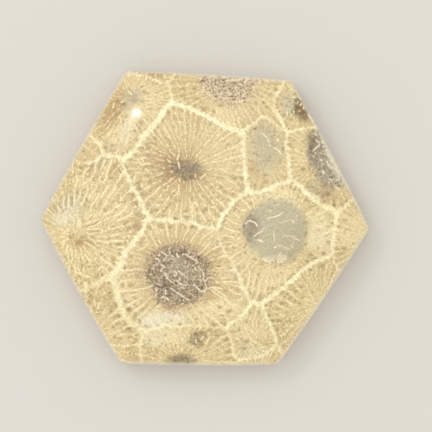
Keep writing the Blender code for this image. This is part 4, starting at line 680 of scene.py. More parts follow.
chambers("grey",(-4.15,1.32,0.2,0.1,60),(-0.3,1.65,0.22,0.13,-20),(-0.4,1.6,0.2,0.15),
(-7.12,4.67,0.22,0.09,-70),(-6.8,4.2,0.2,0.09,30),(-6.8,4,0.2,0.13),(-6.6,3.6,0.16,0.14),
(-6.4,3,0.2,0.1,75),(-5.3,4,0.2,0.08,85),(-1.8,3.65,0.38,0.2),(-0.75,4.35,0.3,0.22),(-0.6,-0.35,0.3,0.2),
(2.6,4.4,0.2,0.15,-40),(6.05,-7.4,0.2,0.14,70),(6.8,-10.97,0.33,0.14,92),(4.37,-7.2,0.28,0.11,90),
(5.2,-7.3,0.33,0.25),(4.1,-6.8,0.2,0.14),(7.5,-7.9,0.2,0.13,90),(3.5,-8.35,0.15,0.11,90),
(-0.65,-10.85,0.6,0.4),(-0.85,-11.15,0.5,0.4,60),(-4.3,-9.8,0.22,0.12),(-3.35,-9.6,0.2,0.09,-30),
(-5.38,-11.54,0.22,0.12,-50),(-2.7,-12.8,0.35,0.15),(-2.2,-12.93,0.5,0.15),(-1.4,-12.78,0.22,0.12,50),
(-2.13,-12.55,0.35,0.17),(0.1,-12.1,0.3,0.14),(-1.7,-11.75,0.2,0.1,90),(-1.5,-11.2,0.2,0.1,70),
(-4.2,-10.85,0.2,0.08,-40),(-9.9,-5.35,0.3,0.25),(-8.35,-8.12,0.3,0.22),(-7.25,-7.6,0.3,0.18),
(-7.8,-8.88,0.25,0.18,90),(-7.35,-10.35,0.25,0.1),(1.6,-2.2,0.2,0.12,-50),(1.7,-0.3,0.25,0.13,80),
(2.67,0.75,0.27,0.08,40),(2.7,1.1,0.22,0.08,30),(5.15,-4.2,0.3,0.15),(7.75,-3.3,0.3,0.2,-30),
(8.1,-3,0.2,0.1),(4.8,0.73,0.17,0.15),(4.3,0.7,0.2,0.12,60),(3.57,-1.3,0.3,0.12,85),(7.1,1.7,0.25,0.1),
(5.1,1.15,0.3,0.12),(7.35,1.4,0.25,0.1),(7.8,1.2,0.25,0.12),(6.4,1.35,0.22,0.2),(8.05,0.68,0.12,0.12),
(7.2,0.75,0.12,0.12),(8.55,3.35,0.15,0.08),(7.8,1.75,0.2,0.12),(10.3,0.75,0.15,0.15),(11.2,-0.75,0.25,0.12),
(10.3,-1.1,0.3,0.12),(11.05,-1.6,0.2,0.13),(12.75,0.5,0.2,0.1),(11.85,-2.8,0.2,0.15),(12.2,-2.85,0.25,0.1),
(12.15,-3.45,0.2,0.07),(10.65,-0.3,0.2,0.15),(9.1,-0.4,0.3,0.2),(-0.72,-5.4,0.3,0.1,80),
(-0.57,-5.8,0.16,0.15),(-1.29,-5.58,0.16,0.13),(-0.84,-6.57,0.16,0.13),(-2.7,-6.25,0.45,0.12,-10),
(-3.3,-4.73,0.13,0.12),(0.5,-5.75,0.3,0.25),(-13.6,0.9,0.25,0.12,-30),(-13.2,1.3,0.3,0.12,60),
(-12.5,1.7,0.3,0.1,75),(-12.1,1.75,0.3,0.1,75),(-11.5,2.5,0.25,0.1,75),(-5.34,-8.8,0.16,0.14),
(-5.67,-9.05,0.13,0.09),(-2.24,-9.67,0.17,0.11),(-3.37,-9.55,0.17,0.08,-20),(-1.42,-9.5,0.17,0.08),
(0.33,-9.2,0.24,0.11,-15),(-6.4,10.7,0.5,0.2),(-5.7,10.6,0.3,0.2),(-6.5,11.1,0.45,0.2),
(-7.2,7.5,0.3,0.1,50),(-6.8,7.85,0.2,0.15),(-8.55,6.2,0.3,0.1,80),(-7.7,6.65,0.3,0.1,50),
(-9.2,7.02,0.17,0.08,-60),(-4.97,7.68,0.15,0.1),(-3.65,8.5,0.12,0.1),(4.05,11.75,0.3,0.2),
(3.9,11.3,0.3,0.2),(0.55,10.9,0.15,0.15),(2.75,10.3,0.15,0.15),(3.15,10.35,0.15,0.08),(5.72,7.85,0.28,0.18),
(6.1,7.3,0.28,0.18,90),(6.23,6.65,0.3,0.1,-30),(4.4,6.9,0.3,0.2),(4.85,7.3,0.12,0.1),(5.6,5.18,0.4,0.15),
(5.2,5.6,0.12,0.1),(5.52,5.6,0.15,0.08,-40),(5.1,5,0.15,0.1),(5.6,4.8,0.15,0.07),(7.4,4.3,0.15,0.1),
(5.15,6.95,0.12,0.07),(7.6,11.2,0.15,0.12),(7.4,10.9,0.2,0.15),(7.7,10.65,0.3,0.12,90),(7.45,10.2,0.25,0.2),
(7.2,10.9,0.15,0.15),(10,7.4,0.25,0.15),(9.8,7.3,0.2,0.15),(10.5,7.3,0.2,0.15),(9.45,6.3,0.15,0.15),
(9.45,5.75,0.3,0.12,90),(9.45,5.2,0.2,0.1,90),(9.9,5.25,0.12,0.12),(11.7,4.35,0.3,0.06,90),
(9.65,3.9,0.2,0.12,90),(11.05,3.2,0.25,0.2),(10.9,6.15,0.15,0.08,80),(10.4,6.4,0.17,0.06,45),
(10.9,4.95,0.15,0.08,90),(9.4,2.9,0.3,0.25),(11.2,4.05,0.13,0.12),
)
chambers("dark",(-2.95,4.45,0.15,0.13),(-2.6,4.18,0.15,0.13),(-2.38,4.4,0.12,0.1),(-1.3,3.88,0.14,0.12),
(-1,3.72,0.14,0.12),(-2.65,4.8,0.2,0.15),(-2.3,5.15,0.17,0.14),(-1.95,4.1,0.12,0.1),(-1.6,5.15,0.4,0.1),
(-1.95,3.75,0.2,0.15,-30),(-1.75,3.5,0.2,0.14),(-1.1,3.6,0.2,0.12),(-3,4.9,0.15,0.1),
(3.98,-10.35,0.1,0.08,90),(4.15,-11.72,0.11,0.09),(5.54,-7.94,0.25,0.14,30),(5.8,-8.8,0.35,0.17,-60),
(6.13,-9.32,0.3,0.14,-10),(6.94,-9.4,0.12,0.1,90),(7.75,-9.4,0.16,0.1),(7.75,-9.15,0.12,0.1),
(6.28,-9.8,0.2,0.13,-50),(7.5,-6.93,0.13,0.08),(3.12,-10.12,0.25,0.13,80),(6.63,-11.85,0.15,0.06,80),
(-0.32,-10.38,0.32,0.15),(-0.75,-10.52,0.28,0.14,25),(-1.25,-10.78,0.2,0.12,50),(-1.28,-11.2,0.25,0.14,85),
(-0.97,-11.42,0.22,0.12,-25),(-0.45,-11.2,0.2,0.12),(-0.34,-11.5,0.26,0.18),(-0.55,-11.75,0.18,0.11),
(-0.72,-11.1,0.2,0.08,90),(0.1,-10.72,0.25,0.1,-75),(-3.57,-10.65,0.13,0.13),(-2.2,-9.65,0.22,0.13),
(-5.35,-9.87,0.25,0.1),(1.12,-10.67,0.33,0.11),(-9.35,-5.17,0.15,0.1,90),(-9,-5.42,0.2,0.08,40),
(-8.8,-5.87,0.2,0.1),(-9,-6.58,0.15,0.08,-70),(-8.62,-6.8,0.17,0.1,30),(-8.2,-7.72,0.2,0.07,-20),
(-8.02,-8,0.17,0.07,-75),(-6.97,-8.3,0.25,0.22),(-7.35,-9.38,0.2,0.09,-35),(-7.17,-9.65,0.16,0.09,-80),
(-6.9,-10.07,0.35,0.14),(-6,-9.85,0.16,0.1),(-6.25,-10.7,0.1,0.1),(-5.65,-10.27,0.17,0.1,-50),
(-6.5,-12.3,0.25,0.08,-75),(-9.74,-8.43,0.15,0.09,-30),(4.4,-0.13,0.25,0.1,-20),(4.12,0.25,0.25,0.13,70),
(3.72,-0.35,0.15,0.11,40),(4.2,-0.6,0.15,0.12),(4.2,-1.3,0.2,0.15),(3.55,-0.75,0.25,0.13,80),
(3.55,-1.35,0.25,0.12,85),(3.9,-1.9,0.22,0.13,70),(3.72,-2.42,0.22,0.12,60),(3.6,-2.65,0.18,0.11,40),
(3.9,0,0.2,0.12,50),(4.6,2.15,0.2,0.1,-15),(5.35,2.25,0.12,0.1),(5.65,2.38,0.22,0.1,20),(5.95,2.25,0.1,0.1),
(7.35,2.95,0.13,0.1),(8,3.2,0.22,0.13),(7.8,2.85,0.16,0.1,90),(8.1,2.6,0.16,0.13),(9.85,1.4,0.17,0.1),
(11.8,0.4,0.12,0.1),(11.6,-0.4,0.13,0.08,-60),(11.38,-2.42,0.12,0.12),(11.5,-1.75,0.13,0.08,90),
(10.3,-2.75,0.25,0.1,80),(10.8,-3.2,0.25,0.2),(9.95,-3.7,0.3,0.12),(9.3,-3.95,0.25,0.12),
(8.55,-4.75,0.13,0.13),(11.75,1.2,0.22,0.18),(9.6,-4.7,0.22,0.15),(-3.85,-2.8,0.12,0.1),
(-3.58,-2.94,0.16,0.06),(-2.68,-2.78,0.22,0.08),(-2.15,-2.83,0.12,0.08),(-1.74,-3.07,0.1,0.08,90),
(-1.65,-2.89,0.08,0.06),(-1.24,-3.32,0.18,0.08,-30),(-1.65,-3.56,0.1,0.08),(-1.2,-3.77,0.1,0.08,90),
(-0.89,-3.6,0.12,0.08,-40),(-1.38,-4.15,0.12,0.07,90),(-0.7,-3.92,0.1,0.06),(-0.28,-4.33,0.18,0.09,-30),
(0.06,-4.69,0.2,0.1,-40),(-0.56,-5.02,0.3,0.07,90),(-3.13,-3.79,0.14,0.1),(-3.13,-3.25,0.08,0.06),
(-3.71,-3.52,0.15,0.07,90),(-4.43,-3.56,0.12,0.07),(-4.25,-3.2,0.16,0.1,30),(-3.94,-4.37,0.12,0.07),
(-3.8,-4.1,0.16,0.06),(-4.34,-4.9,0.3,0.2),(-3.12,-5.52,0.25,0.07,-50),(-2.68,-5.5,0.16,0.06),
(-2.19,-5.83,0.14,0.06),(-1.69,-5.17,0.22,0.06,-35),(-2.19,-4.69,0.1,0.09),(-1.05,-5.26,0.16,0.07,-40),
(-4.15,-6.24,0.45,0.1,-8),(-4.25,-5.87,0.16,0.06),(-5.1,-5.85,0.2,0.08),(-5,-5.4,0.25,0.08),
(-4.6,-6.57,0.1,0.07,90),(-3.13,-6.6,0.13,0.09,60),(-2.15,-6.65,0.36,0.1,-22),(-2.45,-7.06,0.12,0.06),
(-4.16,-7.02,0.26,0.09,80),(-3.67,-7.42,0.13,0.07),(-2.68,-7.87,0.16,0.06),(-2,-7.96,0.13,0.05),
(-3.55,-6,0.25,0.2,90),(-4.43,-4,0.25,0.07),(-4.2,-7.6,0.3,0.15,90),(-7.35,10.35,0.25,0.18),
(-5.97,8.17,0.14,0.11),(-6.22,8.45,0.25,0.09,-55),(-5.75,11.95,0.18,0.1),(-5.85,7.4,0.12,0.12),
(-7.75,9.55,0.12,0.1),(-7.95,9.35,0.12,0.1),(-6.38,7.9,0.22,0.09,-70),(-9,6.4,0.35,0.12,75),
(-4.36,8.23,0.15,0.12),(-3.8,8.9,0.25,0.12,60),(-3.3,9.65,0.2,0.12,70),(-5.12,6.3,0.12,0.1),
(-5.58,6.36,0.1,0.1),(-5.9,6.46,0.1,0.1),(-4.52,7.27,0.25,0.13,-25),(-9.53,7.37,0.13,0.12),
(1.8,12.55,0.15,0.12),(2.4,12.25,0.35,0.08),(2.7,12.2,0.15,0.08),(2.75,11.35,0.11,0.1),
(4.32,12.25,0.14,0.08,-45),(3.3,10.95,0.15,0.12),(0.05,11.35,0.13,0.13),(0.8,11.35,0.15,0.14),
(2.65,10.8,0.2,0.15),(-0.2,12.5,0.13,0.12,20),(0.15,12.58,0.15,0.12),(-0.4,12.3,0.12,0.12),
(3.55,12.6,0.2,0.1,90),(2.25,10.75,0.2,0.12),(5.4,10.5,0.25,0.18),(4.5,8.1,0.3,0.1,15),(6.28,7.86,0.1,0.09),
(6.34,7.56,0.1,0.09),(4.47,5.88,0.15,0.08,30),(7.13,6.25,0.3,0.12,90),(4.55,6.4,0.1,0.1),
(4.8,5.7,0.2,0.1,-50),(5.85,5.52,0.25,0.1,40),(7.66,8.1,0.15,0.1,-40),(8.3,10.65,0.2,0.15,90),
(8.5,10.4,0.2,0.15),(8.3,10.15,0.22,0.17,90),(8.6,10,0.25,0.15),(8.25,9.7,0.25,0.12,90),
(8.85,9.55,0.35,0.2),(8.95,9.7,0.15,0.12),(8.65,10.85,0.3,0.14,60),(7.9,9.65,0.14,0.11),
(8.35,9.45,0.2,0.15),(6.75,9.6,0.13,0.12),(8.9,10.3,0.2,0.15,60),(10.3,7.75,0.2,0.12,90),
(9.9,7.05,0.15,0.13),(10.05,6.9,0.15,0.08),(9.65,6.3,0.25,0.2),(9.6,6.55,0.12,0.12),(10.15,6.17,0.1,0.08),
(10.6,6.7,0.1,0.1),(10.7,6.3,0.12,0.12),(9.55,5.95,0.2,0.12),(9.7,5.9,0.15,0.1),(10.7,5.6,0.15,0.1),
(9.6,5.4,0.13,0.13),(10.2,5.2,0.15,0.1,90),(9.6,4.87,0.14,0.12),(10.07,4.85,0.15,0.06,90),
(10.75,4.5,0.16,0.14),(11.2,5.35,0.2,0.08,-60),(11.4,4.28,0.13,0.1),(10.1,3.85,0.13,0.1),
(11.65,3.7,0.16,0.08),(11.37,3.68,0.1,0.07),(11.5,3.1,0.15,0.08,-70),(11.9,3.2,0.12,0.08),
(12.1,2.95,0.13,0.1),(-2.75,10.4,0.14,0.13),(-4.3,0.05,0.2,0.08),(-2.6,-0.05,0.2,0.08),
(-1.65,0.05,0.2,0.08),(-5.5,-1.25,0.12,0.12),(-7.25,-4.55,0.12,0.11),
)
seams(0.07,((-2.8,0),(-2.35,-0.1)),((-1.3,-0.9),(-1.05,-0.75),(-0.8,-0.9)),
)
seams(0.06,((-6.6,1.4),(-6.35,1.45),(-6.15,1.25),(-6.08,1)),((-10.79,-1.97),(-10.5,-2.17),(-10.07,-2.46)),
((-11,-0.84),(-10.45,-0.65),(-9.96,-0.53),(-9.62,-0.27)),((-10.45,-0.08),(-10.3,0.1)),((-7.35,5),(-7,4.45)),
((-6.7,1.45),(-6.3,1.35),(-6.05,0.95)),
)


# How far the cups lean per millimetre of depth, so that the back isn't a copy of the front.
GROWTH_LEAN = (0.1, -0.06)
# The cups draw together a little toward this middle with each millimetre above this height.
FAN_MIDDLE = (1, 0.2)
FAN_HEIGHT = 3.35
FAN_PER_MM = 0.0046


def linear(colour):
    """An sRGB hex colour as linear RGBA."""
    channels = [int(colour[i : i + 2], 16) / 255 for i in (1, 3, 5)]
    return tuple(c / 12.92 if c <= 0.04045 else ((c + 0.055) / 1.055) ** 2.4 for c in channels) + (1,)


def smooth_step(start, end, value):
    """0 before start, 1 after end, and an even ease between."""
    t = np.clip((value - start) / (end - start), 0, 1)
    return t * t * (3 - 2 * t)


# ---- shape ----
corner = np.array(CORNERS)
along = np.roll(corner, -1, axis=0) - corner
along /= np.linalg.norm(along, axis=1)[:, None]
outward = np.column_stack((along[:, 1], -along[:, 0]))
offset = (outward * corner).sum(axis=1)
wear_power = np.linalg.norm(corner, axis=1) * math.log(2) / np.array(CORNER_WEAR)


def outline(sector, fraction):
    """The outline at a share of the way along each side, its corners' wear, and the dome's fall there."""
    straight = corner[sector] * (1 - fraction)[:, None] + corner[(sector + 1) % SIDES] * fraction[:, None]
    share = np.maximum(straight @ outward.T / offset, 0)
    fall = (share**SIDE_BLEND).sum(axis=1) ** (1 / SIDE_BLEND)
    rows = np.arange(len(sector))
    bulged = 1 + np.array(SIDE_BULGE)[sector] * 4 * fraction * (1 - fraction) / offset[sector]
    worn = np.ones(len(sector))
    following = (sector + 1) % SIDES
    for end, neighbour in ((sector, (sector - 1) % SIDES), (following, following)):
        power = wear_power[end]
        worn *= (1 + np.minimum(share[rows, neighbour], 1) ** power) ** (-1 / power)
    return straight * bulged[:, None], worn, fall


def placed(sector, fraction, level, height=None):
    """Points at a level between the centre (0) and the outline (1), on the dome unless a height is given."""
    edge, worn, fall = outline(sector, fraction)
    scale = level * (1 - (1 - worn) * level**WEAR_POWER)
    dome = CROWN_HEIGHT - DOME_RISE * (fall * level) ** DOME_POWER
    return np.column_stack((edge * scale[:, None], dome if height is None else height))


def ring_lattice(rings):
    """Sector, fraction and level of each point of a wedge per side, and the wedges' even triangles."""
    sector = [np.zeros(1, int)]
    fraction = [np.zeros(1)]
    level = [np.zeros(1)]
    triangles = []
    for ring in range(rings):
        step = np.arange(SIDES * (ring + 1))
        sector.append(step // (ring + 1))
        fraction.append(step % (ring + 1) / (ring + 1))
        level.append(np.full(len(step), (ring + 1) / rings))
        inner_start = 1 + SIDES * ring * (ring - 1) // 2 if ring else 0
        outer_start = 1 + SIDES * ring * (ring + 1) // 2
        wedge = np.repeat(np.arange(SIDES), ring + 1)
        place = np.tile(np.arange(ring + 1), SIDES)
        inner = inner_start + (wedge * ring + place) % max(SIDES * ring, 1)
        outer = outer_start + wedge * (ring + 1) + place
        outer_next = outer_start + (wedge * (ring + 1) + place + 1) % (SIDES * (ring + 1))
        triangles.append(np.column_stack((inner, outer, outer_next)))
        inner_next = inner_start + (wedge * ring + place + 1) % max(SIDES * ring, 1)
        kept = place < ring
        triangles.append(np.column_stack((inner, outer_next, inner_next))[kept])
    return np.concatenate(sector), np.concatenate(fraction), np.concatenate(level), np.concatenate(triangles)


def bend(start, middle, end, t):
    """A smooth bend from start to end that heads for middle at both."""
    return (1 - t) ** 2 * start + 2 * t * (1 - t) * middle + t**2 * end


def build_stone():
    """Points, triangles and bake UVs of the whole stone: dome, rounded edges, sides and back."""
    sector, fraction, level, top_faces = ring_lattice(TOP_RINGS)
    top_level = 1 - TOP_ARRIS[0] / MEAN_APOTHEM
    points = [placed(sector, fraction, level * top_level)]
    count = SIDES * TOP_RINGS
    first_row = len(sector) - count
    rim_sector, rim_fraction = sector[first_row:], fraction[first_row:]
    _, _, fall = outline(rim_sector, rim_fraction)
    rim_height = CROWN_HEIGHT - DOME_RISE * fall**DOME_POWER
    start_height = CROWN_HEIGHT - DOME_RISE * (fall * top_level) ** DOME_POWER
    wall_top = rim_height - TOP_ARRIS[1]
    rows = []
    for t in np.arange(1, ARRIS_ROWS + 1) / ARRIS_ROWS:
        rows.append((bend(top_level, 1, 1, t), bend(start_height, rim_height, wall_top, t)))
    for t in np.arange(1, WALL_ROWS + 1) / WALL_ROWS:
        rows.append((1, wall_top * (1 - t) + BACK_ARRIS[1] * t))
    back_level = 1 - BACK_ARRIS[0] / MEAN_APOTHEM
    for t in np.arange(1, ARRIS_ROWS + 1) / ARRIS_ROWS:
        rows.append((bend(1, 1, back_level, t), bend(BACK_ARRIS[1], 0, 0, t) * np.ones(count)))
    for row_level, height in rows:
        points.append(placed(rim_sector, rim_fraction, np.full(count, row_level), height))
    row_start = first_row + count * np.arange(len(rows) + 1)
    column = np.arange(count)
    following = (column + 1) % count
    side_faces = []
    side_cells = []
    for row in range(len(rows)):
        upper, lower = row_start[row], row_start[row + 1]
        side_faces.append(np.column_stack((upper + column, lower + column, lower + following)))
        side_faces.append(np.column_stack((upper + column, lower + following, upper + following)))
        for cell in ([(0, row), (0, row + 1), (1, row + 1)], [(0, row), (1, row + 1), (1, row)]):
            side_cells.append(np.array(cell)[None] + column[:, None, None] * (1, 0))
    # The back has half as many points round it, so a row of stitches joins it to the sides.
    back_sector, back_fraction, back_ring, back_faces = ring_lattice(BACK_RINGS)
    back_inner = back_level * (1 - 0.5 / BACK_RINGS)
    zero = np.zeros(len(back_sector))
    points.append(placed(back_sector, back_fraction, back_ring * back_inner, zero))
    back_start = row_start[-1] + count
    back_count = SIDES * BACK_RINGS
    back_rim = back_start + len(back_sector) - back_count + np.arange(back_count)
    back_next = np.roll(back_rim, -1)
    last = row_start[-1] + 2 * np.arange(back_count)
    middle = last + 1
    last_next = np.roll(last, -1)
    stitches = np.concatenate((
        np.column_stack((back_rim, middle, last)),
        np.column_stack((back_rim, back_next, middle)),
        np.column_stack((back_next, last_next, middle)),
    ))
    points = np.concatenate(points)
    point_level = np.concatenate((
        level * top_level, *[np.full(count, row_level) for row_level, _ in rows], back_ring * back_inner))
    back_faces = np.concatenate((back_faces[:, ::-1] + back_start, stitches))
    side_faces = np.concatenate(side_faces)
    side_cells = np.concatenate(side_cells)
    top_uv = DOME_MIDDLE + points[top_faces][:, :, :2] / DOME_SPAN
    back_uv = BACK_MIDDLE + points[back_faces][:, :, :2] / BACK_SPAN * (-1, 1)
    strip = side_cells[:, 0, 0] // TOP_RINGS
    across = side_cells[:, :, 0] / TOP_RINGS - strip[:, None]
    down = side_cells[:, :, 1] / len(rows)
    side_uv = np.stack((
        STRIP_START[0] + STRIP_STEP[0] * (strip % 2)[:, None] + STRIP_SIZE[0] * across,
        STRIP_START[1] + STRIP_STEP[1] * (strip // 2)[:, None] - STRIP_SIZE[1] * down,
    ), axis=2)
    faces = np.concatenate((top_faces, side_faces, back_faces))
    return points, point_level, faces, np.concatenate((top_uv, side_uv, back_uv))


# ---- pattern ----
KINDS = ("smooth", "mottled", "pink", "peppered", "brown", "dark", "grey", "deep", "pale", "haze_and_sheen")
# How much of a wall's or a drawn septum's listed half-width is solid. The rest is its soft edge.
WALL_SHARE = 0.78
DRAWN_SHARE = 0.6
# Walls wander to and fro by waves of about this size and height.
WANDER_SIZE, WANDER = 0.9, 0.025
# Closer to a drawn septum than this, the even pattern of septa is at its faintest.
DRAWN_CLEAR = 0.08
# Where a stain starts to fade and where it ends, in shares of its half-length, and a little past that.
STAIN_FADE = (0.35, 1.25)
PAST_STAIN = 1.3
# A cup at the edge is closed this many times further out, and FAR is past everything.
PAST_EDGE = 2.2
FAR = 1e9


def line_gap(points, line):
    """Distance from each point to a run of straight lengths, and how far along the run that is, 0 to 1."""
    line = np.array(line)
    length = np.linalg.norm(np.diff(line, axis=0), axis=1)
    begun = np.concatenate(([0], np.cumsum(length)[:-1])) / length.sum()
    best = np.full(len(points), FAR)
    share = np.zeros(len(points))
    for start, end, size, before in zip(line[:-1], line[1:], length, begun):
        step = (end - start) / size
        t = np.clip((points - start) @ step, 0, size)
        gap = np.linalg.norm(points - start - t[:, None] * step, axis=1)
        nearer = gap < best
        best[nearer] = gap[nearer]
        share[nearer] = before + t[nearer] / length.sum()
    return best, share


def inside(points, polygon):
    """Whether each point lies in a closed polygon."""
    polygon = np.array(polygon)
    x, y = points[:, 0], points[:, 1]
    found = np.zeros(len(points), bool)
    for (x0, y0), (x1, y1) in zip(polygon, np.roll(polygon, -1, axis=0)):
        if y0 == y1:
            continue
        crosses = (y0 > y) != (y1 > y)
        found ^= crosses & (x < x0 + (x1 - x0) * (y - y0) / (y1 - y0))
    return found


def wall_line(name):
    """The points of a wall, from one of its meetings to the other."""
    start, end, _, _, _, _, between = WALLS[name]
    return [MEETINGS[start], *between, MEETINGS[end]]


def cup_polygon(walls):
    """The walls of a cup chained end to end, closed outside the stone where it meets the edge."""
    left = [wall_line(name) for name in walls]
    chain = left.pop(0)
    grown = True
    while left and grown:
        grown = False
        for line in left:
            for piece in (line, line[::-1]):
                if piece[0] == chain[-1]:
                    chain = chain + piece[1:]
                    grown = True
                elif piece[-1] == chain[0]:
                    chain = piece[:-1] + chain
                    grown = True
                if grown:
                    break
            if grown:
                left.remove(line)
                break
    if chain[0] != chain[-1]:
        chain = chain + [tuple(PAST_EDGE * np.array(end)) for end in (chain[-1], chain[0])]
    return chain


def spot_share(points, centre, half_axes, turn):
    """1 at the middle of a soft round stain, 0 beyond its edge."""
    angle = math.radians(turn)
    offsets = points - centre
    u = (offsets[:, 0] * math.cos(angle) + offsets[:, 1] * math.sin(angle)) / half_axes[0]
    v = (offsets[:, 1] * math.cos(angle) - offsets[:, 0] * math.sin(angle)) / half_axes[1]
    return 1 - smooth_step(*STAIN_FADE, np.hypot(u, v))


def near_box(points, corners, margin):
    """The indices of the points within a margin of a small shape's box."""
    corners = np.array(corners)
    low, high = corners.min(axis=0) - margin, corners.max(axis=0) + margin
    return np.flatnonzero(((points > low) & (points < high)).all(axis=1))


def drawn_septa(points):
    """How far each point lies outside the nearest drawn septum, and how pale that septum is."""
    gap = np.full(len(points), DRAWN_REACH)
    light = np.zeros(len(points))
    for half_width, paleness, lines in SEPTA:
        for line in lines:
            near = near_box(points, line, DRAWN_REACH + half_width)
            found = line_gap(points[near], line)[0] - DRAWN_SHARE * half_width
            nearer = found < gap[near]
            gap[near[nearer]] = found[nearer]
            light[near[nearer]] = paleness
    return gap, light


def chamber_shares(points):
    """How much each point belongs to a drawn chamber of each kind."""
    shares = {kind: np.zeros(len(points)) for kind in CHAMBER_KINDS}
    for kind, spots in CHAMBERS:
        for x, y, half_length, half_width, *turn in spots:
            near = near_box(points, [(x, y)], PAST_STAIN * half_length)
            cover = spot_share(points[near], (x, y), (half_length, half_width), sum(turn))
            shares[kind][near] = 1 - (1 - shares[kind][near]) * (1 - cover)
    return shares


def wobbled(points, size, amount):
    """Points shifted to and fro by soft waves of about this size."""
    x, y = (points * 2 * math.pi / size).T
    across = np.sin(0.9 * x + 1.3 * y + 0.4) + np.sin(1.7 * x - 0.8 * y + 2.1)
    across += 0.6 * np.sin(2.9 * y + 0.7 * x)
    up = np.sin(1.2 * x - 0.7 * y + 1.2) + np.sin(0.6 * x + 1.9 * y + 3.3)
    up += 0.6 * np.sin(3.1 * x - 0.5 * y)
    return points + amount * np.column_stack((across, up)) / 1.6


def stone_pattern(points, level):
    """The coral's structure at each point, as named vectors."""
    depth = CROWN_HEIGHT - DOME_RISE * level_of(points[:, :2]) ** DOME_POWER - points[:, 2]
    fan = 1 + FAN_PER_MM * (points[:, 2:] - FAN_HEIGHT)
    seen = FAN_MIDDLE + (points[:, :2] - FAN_MIDDLE) * fan + np.maximum(depth, 0)[:, None] * GROWTH_LEAN
    wall_gap = np.full(len(points), FAR)
    wall_light = np.zeros(len(points))
    drawn = wobbled(seen, WANDER_SIZE, WANDER)
    for name, (_, _, width0, width1, light0, light1, _) in WALLS.items():
        gap, share = line_gap(drawn, wall_line(name))
        gap = gap - WALL_SHARE * (width0 + (width1 - width0) * share)
        nearer = gap < wall_gap
        wall_gap[nearer] = gap[nearer]
        wall_light[nearer] = (light0 + (light1 - light0) * share)[nearer]
    number = np.zeros(len(points))
    axis = np.zeros((len(points), 3))
    habit = np.zeros((len(points), 3))
    order = np.argmin([np.linalg.norm(seen - cup[0], axis=1) for cup in CUPS.values()], axis=0)
    nearest = np.array(list(CUPS))[order]
    for cup, (_, _, _, _, walls) in CUPS.items():
        within = inside(seen, cup_polygon(walls))
        number[within] = cup
    number[number == 0] = nearest[number == 0]
    for cup, (centre, septa_count, half_width, light, _) in CUPS.items():
        here = number == cup
        axis[here, :2] = seen[here] - centre
        habit[here] = (septa_count, half_width, light)
    axis[:, 2] = np.maximum(depth, 0)
    shares = {kind: np.zeros(len(points)) for kind in KINDS}
    for kind, strength, softness, polygon in PATCHES:
        gap, _ = line_gap(seen, [*polygon, polygon[0]])
        signed = np.where(inside(seen, polygon), -gap, gap)
        cover = strength * (1 - smooth_step(-softness, softness, signed))
        shares[kind] = np.maximum(shares[kind], cover)
    for kind, spots in STAINS.items():
        for strength, x, y, half_length, half_width, *turn in spots:
            cover = strength * spot_share(seen, (x, y), (half_length, half_width), sum(turn))
            shares[kind] = 1 - (1 - shares[kind]) * (1 - cover)
    seam_gap = np.min([line_gap(seen, line)[0] - DRAWN_SHARE * width for width, line in SEAMS], axis=0)
    # How far in from the edge each point lies, which sets where the painted rim sheen falls.
    rim = MEAN_APOTHEM * (1 - level)
    septum_gap, septum_light = drawn_septa(seen)
    filled = chamber_shares(seen)
    drawn_near = np.max([1 - smooth_step(DRAWN_CLEAR, DRAWN_REACH, septum_gap), *filled.values()], axis=0)
    cores = np.max([shares[kind] for kind in ("smooth", "mottled", "pink", "peppered")], axis=0)
    return {
        "axis_offset": axis,
        "septa_habit": habit,
        "cup_wall": np.column_stack((wall_gap, wall_light, number)),
        "core_kind": np.column_stack((shares["smooth"], shares["mottled"], shares["pink"])),
        "stain_kind": np.column_stack((shares["brown"], shares["grey"], shares["haze_and_sheen"])),
        "ground_kind": np.column_stack((shares["deep"], shares["pale"], shares["peppered"])),
        "edge_kind": np.column_stack((shares["dark"], cores, rim)),
        "seam_gap": np.column_stack((seam_gap, drawn_near, np.zeros(len(points)))),
        "drawn_septa": np.column_stack((septum_gap, septum_light, filled["dark"])),
        "chamber_kind": np.column_stack((filled["olive"], filled["brown"], filled["grey"])),
    }


def level_of(flat):
    """How far out each point lies between the centre (0) and the outline (1)."""
    share = np.maximum(flat @ outward.T / offset, 0)
    return (share**SIDE_BLEND).sum(axis=1) ** (1 / SIDE_BLEND)


# ---- finishes ----
MATH = "ShaderNodeMath"
VECTOR = "ShaderNodeVectorMath"
RANGE = "ShaderNodeMapRange"
NOISE = "ShaderNodeTexNoise"
WHITE = "ShaderNodeTexWhiteNoise"
MIX = "ShaderNodeMix"
JOIN = "ShaderNodeCombineXYZ"
SPLIT = "ShaderNodeSeparateXYZ"
ATTRIBUTE = "ShaderNodeAttribute"

TAN = linear("#DDC996")
CHAMBER_OLIVE = linear("#9C8D5E")
CHAMBER_TAN = linear("#B38C57")
CHAMBER_BROWN = linear("#A07C4E")
CHAMBER_GREY = linear("#A39773")
CHAMBER_DARK = linear("#6C5A38")
SEPTUM = linear("#F6E8B8")
WALL = linear("#FFF4C8")
BROWN = linear("#AD8654")
GREY = linear("#B3A98E")
DISC = linear("#BAB293")
DARK = linear("#6E5D48")
CORE_DARK = linear("#4E3D2B")
CORE_MID = linear("#9C8560")
CORE_PALE = linear("#EFE0C2")
CORE_PINK = linear("#B99C7C")
PEPPER = linear("#B7AE98")
PEPPER_DARK = linear("#6D604D")
# Milky white, for the white flecks and for the haze, which is partly painted sheen.
MILKY_WHITE_AND_SHEEN = linear("#EBE6CC")
VEIN = linear("#F6EBD2")
SEAM = linear("#86744F")
# Painted sheen: a pale colour for the rounded rim, standing in for light caught by the edge.
PAINTED_RIM_SHEEN = linear("#DFD5C3")
BOARD = linear("#DAD8D3")

